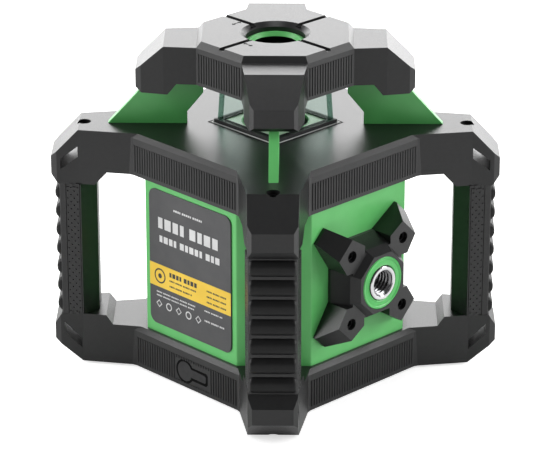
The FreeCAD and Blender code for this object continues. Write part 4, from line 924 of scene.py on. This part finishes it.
def make_flap():
    """The socket's rubber lid, and the dark groove that runs round it in the ribbed face."""
    place = face_place(LABEL_TURN, BAND_REACH)
    groove = bmesh.new()
    inner, outer = lid_outline(0.1), lid_outline(1.4)
    rows = [level(groove, place, line, w)
            for line, w in ((inner, -0.4), (inner, 0.1), (outer, 0.1), (outer, -0.4))]
    walls(groove, rows + rows[:1])
    bmesh.ops.recalc_face_normals(groove, faces=groove.faces)
    settle(link_mesh("flap_groove", groove), "black_plastic", material="shadow_gap")
    finished("socket_flap", width=0.45, angle=40)


def bar(half=0.3, low=0.6, high=3.4):
    return [box_outline(-half, half, low, high)]


def arrow_head(turn, reach=2.6):
    return [[on_ring(reach, turn + corner) for corner in (0, 130, 230)]]


def arc(inner, outer, start, end):
    """Part of a ring, as short pieces of about 12 degrees."""
    steps = max(4, int((end - start) / 12))
    stops = [start + (end - start) * step / steps for step in range(steps + 1)]
    return [[on_ring(outer, first), on_ring(outer, last), on_ring(inner, last),
             on_ring(inner, first)] for first, last in zip(stops, stops[1:])]


# Where the keys stand on their face, and the outlines of the generic marks on them.
KEYS = {"key_power": ((0, 80), bar() + arc(2.3, 2.9, 135, 405)),
        "key_mode": ((-14, 78), arc(2.0, 2.6, 0, 360)),
        "key_speed": ((14, 78), arc(1.9, 2.5, 0, 140) + arc(1.9, 2.5, 180, 320)),
        "key_tilt_left": ((-7, 64), arrow_head(180)),
        "key_tilt_right": ((7, 64), arrow_head(0))}
KEY_PROUD, MARK_SUNK, MARK_TALL = 1.5, 0.15, 0.12


def make_keypad():
    """The panel, its window and lights, and the keys, each with a rim round it and a mark on it."""
    finished("keypad_panel", width=0.7)
    finished("receiver_window", width=0.3)
    finished("status_lights", width=0.25, shortest=0.2)
    face = face_place(KEYPAD_TURN, KEYPAD_REACH)
    rims = bmesh.new()
    for name, ((u, v), mark) in KEYS.items():
        finished(name, width=0.6, shortest=0.3)
        rings(rims, [(5.9, -0.3), (6.0, 0.35), (6.6, 0.35), (6.9, -0.3)], spot(face, u, v),
              columns=48, closed=True)
    settle(link_mesh("key_rims", rims, smooth=40), "panel_grey")
    for name, ((u, v), mark) in KEYS.items():
        raised = bmesh.new()
        for outline in mark:
            prism(raised, outline, spot(face, u, v, KEY_PROUD), -MARK_SUNK, MARK_TALL)
        settle(link_mesh(name + "_mark", raised), "key_rubber", body=body_of(name),
               material="print_white")


def make_battery_door():
    """The door with its latch, the lugs that it hangs on, and the ribs across it."""
    finished("battery_door", width=0.8)
    finished("door_latch", width=0.5)
    finished("hinge_lugs", width=0.4)
    make_door_ribs()


def make_door_ribs(count=9, lowest=42, pitch=4, half=24, half_high=0.8):
    bm = bmesh.new()
    for i in range(count):
        v = lowest + i * pitch
        prism(bm, box_outline(-half, half, v - half_high, v + half_high, radius=0.7, steps=3),
              face_place(DOOR_TURN, DOOR_REACH), -0.2, 0.6, edge=0.3)
    settle(link_mesh("door_ribs", bm, smooth=30), "black_plastic", body="battery_door")


def make_fasteners():
    """Cap screws with hexagon sockets in the frames' arm ends, and in the side mount's legs."""
    well_along, upper_head, lower_head = 109.3, 142.4, 3.6
    bm = bmesh.new()
    for turn in ARM_TURNS:
        well = outward(turn) * well_along
        upside_down = Matrix.Rotation(math.pi, 4, "X")
        for place in (spot(AT_MIDDLE, well.x, well.y, upper_head),
                      spot(AT_MIDDLE, well.x, well.y, lower_head) @ upside_down):
            socket_head(bm, place, radius=3.5, height=3.4, shank=19)
    settle(link_mesh("frame_screws_finish", bm, smooth=30), "black_steel",
           replaces=["frame_screws"])
    leg = 20.5
    bm = bmesh.new()
    for u in (-leg, leg):
        for v in (MOUNT_HIGH - leg, MOUNT_HIGH + leg):
            socket_head(bm, spot(face_place(MOUNT_TURN, MOUNT_SCREW_REACH), u, v), radius=3.3,
                        height=2.8, shank=10)
    settle(link_mesh("star_screws_finish", bm, smooth=30), "black_steel",
           replaces=["star_screws"])


def socket_head(bm, place, radius, height, shank):
    """A cap screw: its head's top at the place's origin, a hexagon socket and a plain shank."""
    hexed = hexagon(radius * 1.1)
    profile = [(0, -height - shank), (radius * 0.5, -height - shank), (radius * 0.5, -height),
               (radius, -height), (radius, -0.4), (radius - 0.4, 0), (hexed, 0),
               (hexed, -height * 0.6), (0, -height * 0.75)]
    rings(bm, profile, place, columns=36)


def make_underside():
    finished("rubber_feet", width=0.5, shortest=0.3)
    finished("base_plate", width=0.6, shortest=0.5)


def dress_cad_nodes():
    """Procedural materials on the CAD nodes that stay."""
    for part in frame["record"]["subparts"]:
        node = frame["nodes"][part["node"]]
        for holder in node.material_slots:
            holder.material = materials[part["material_slot"]]


materials = make_materials()
make_studio()
dress_cad_nodes()
make_frames()
make_cap()
make_ribs()
make_grips()
make_housing()
make_label()
make_mounts()
make_window()
make_rotor()
make_flap()
make_keypad()
make_battery_door()
make_fasteners()
make_underside()
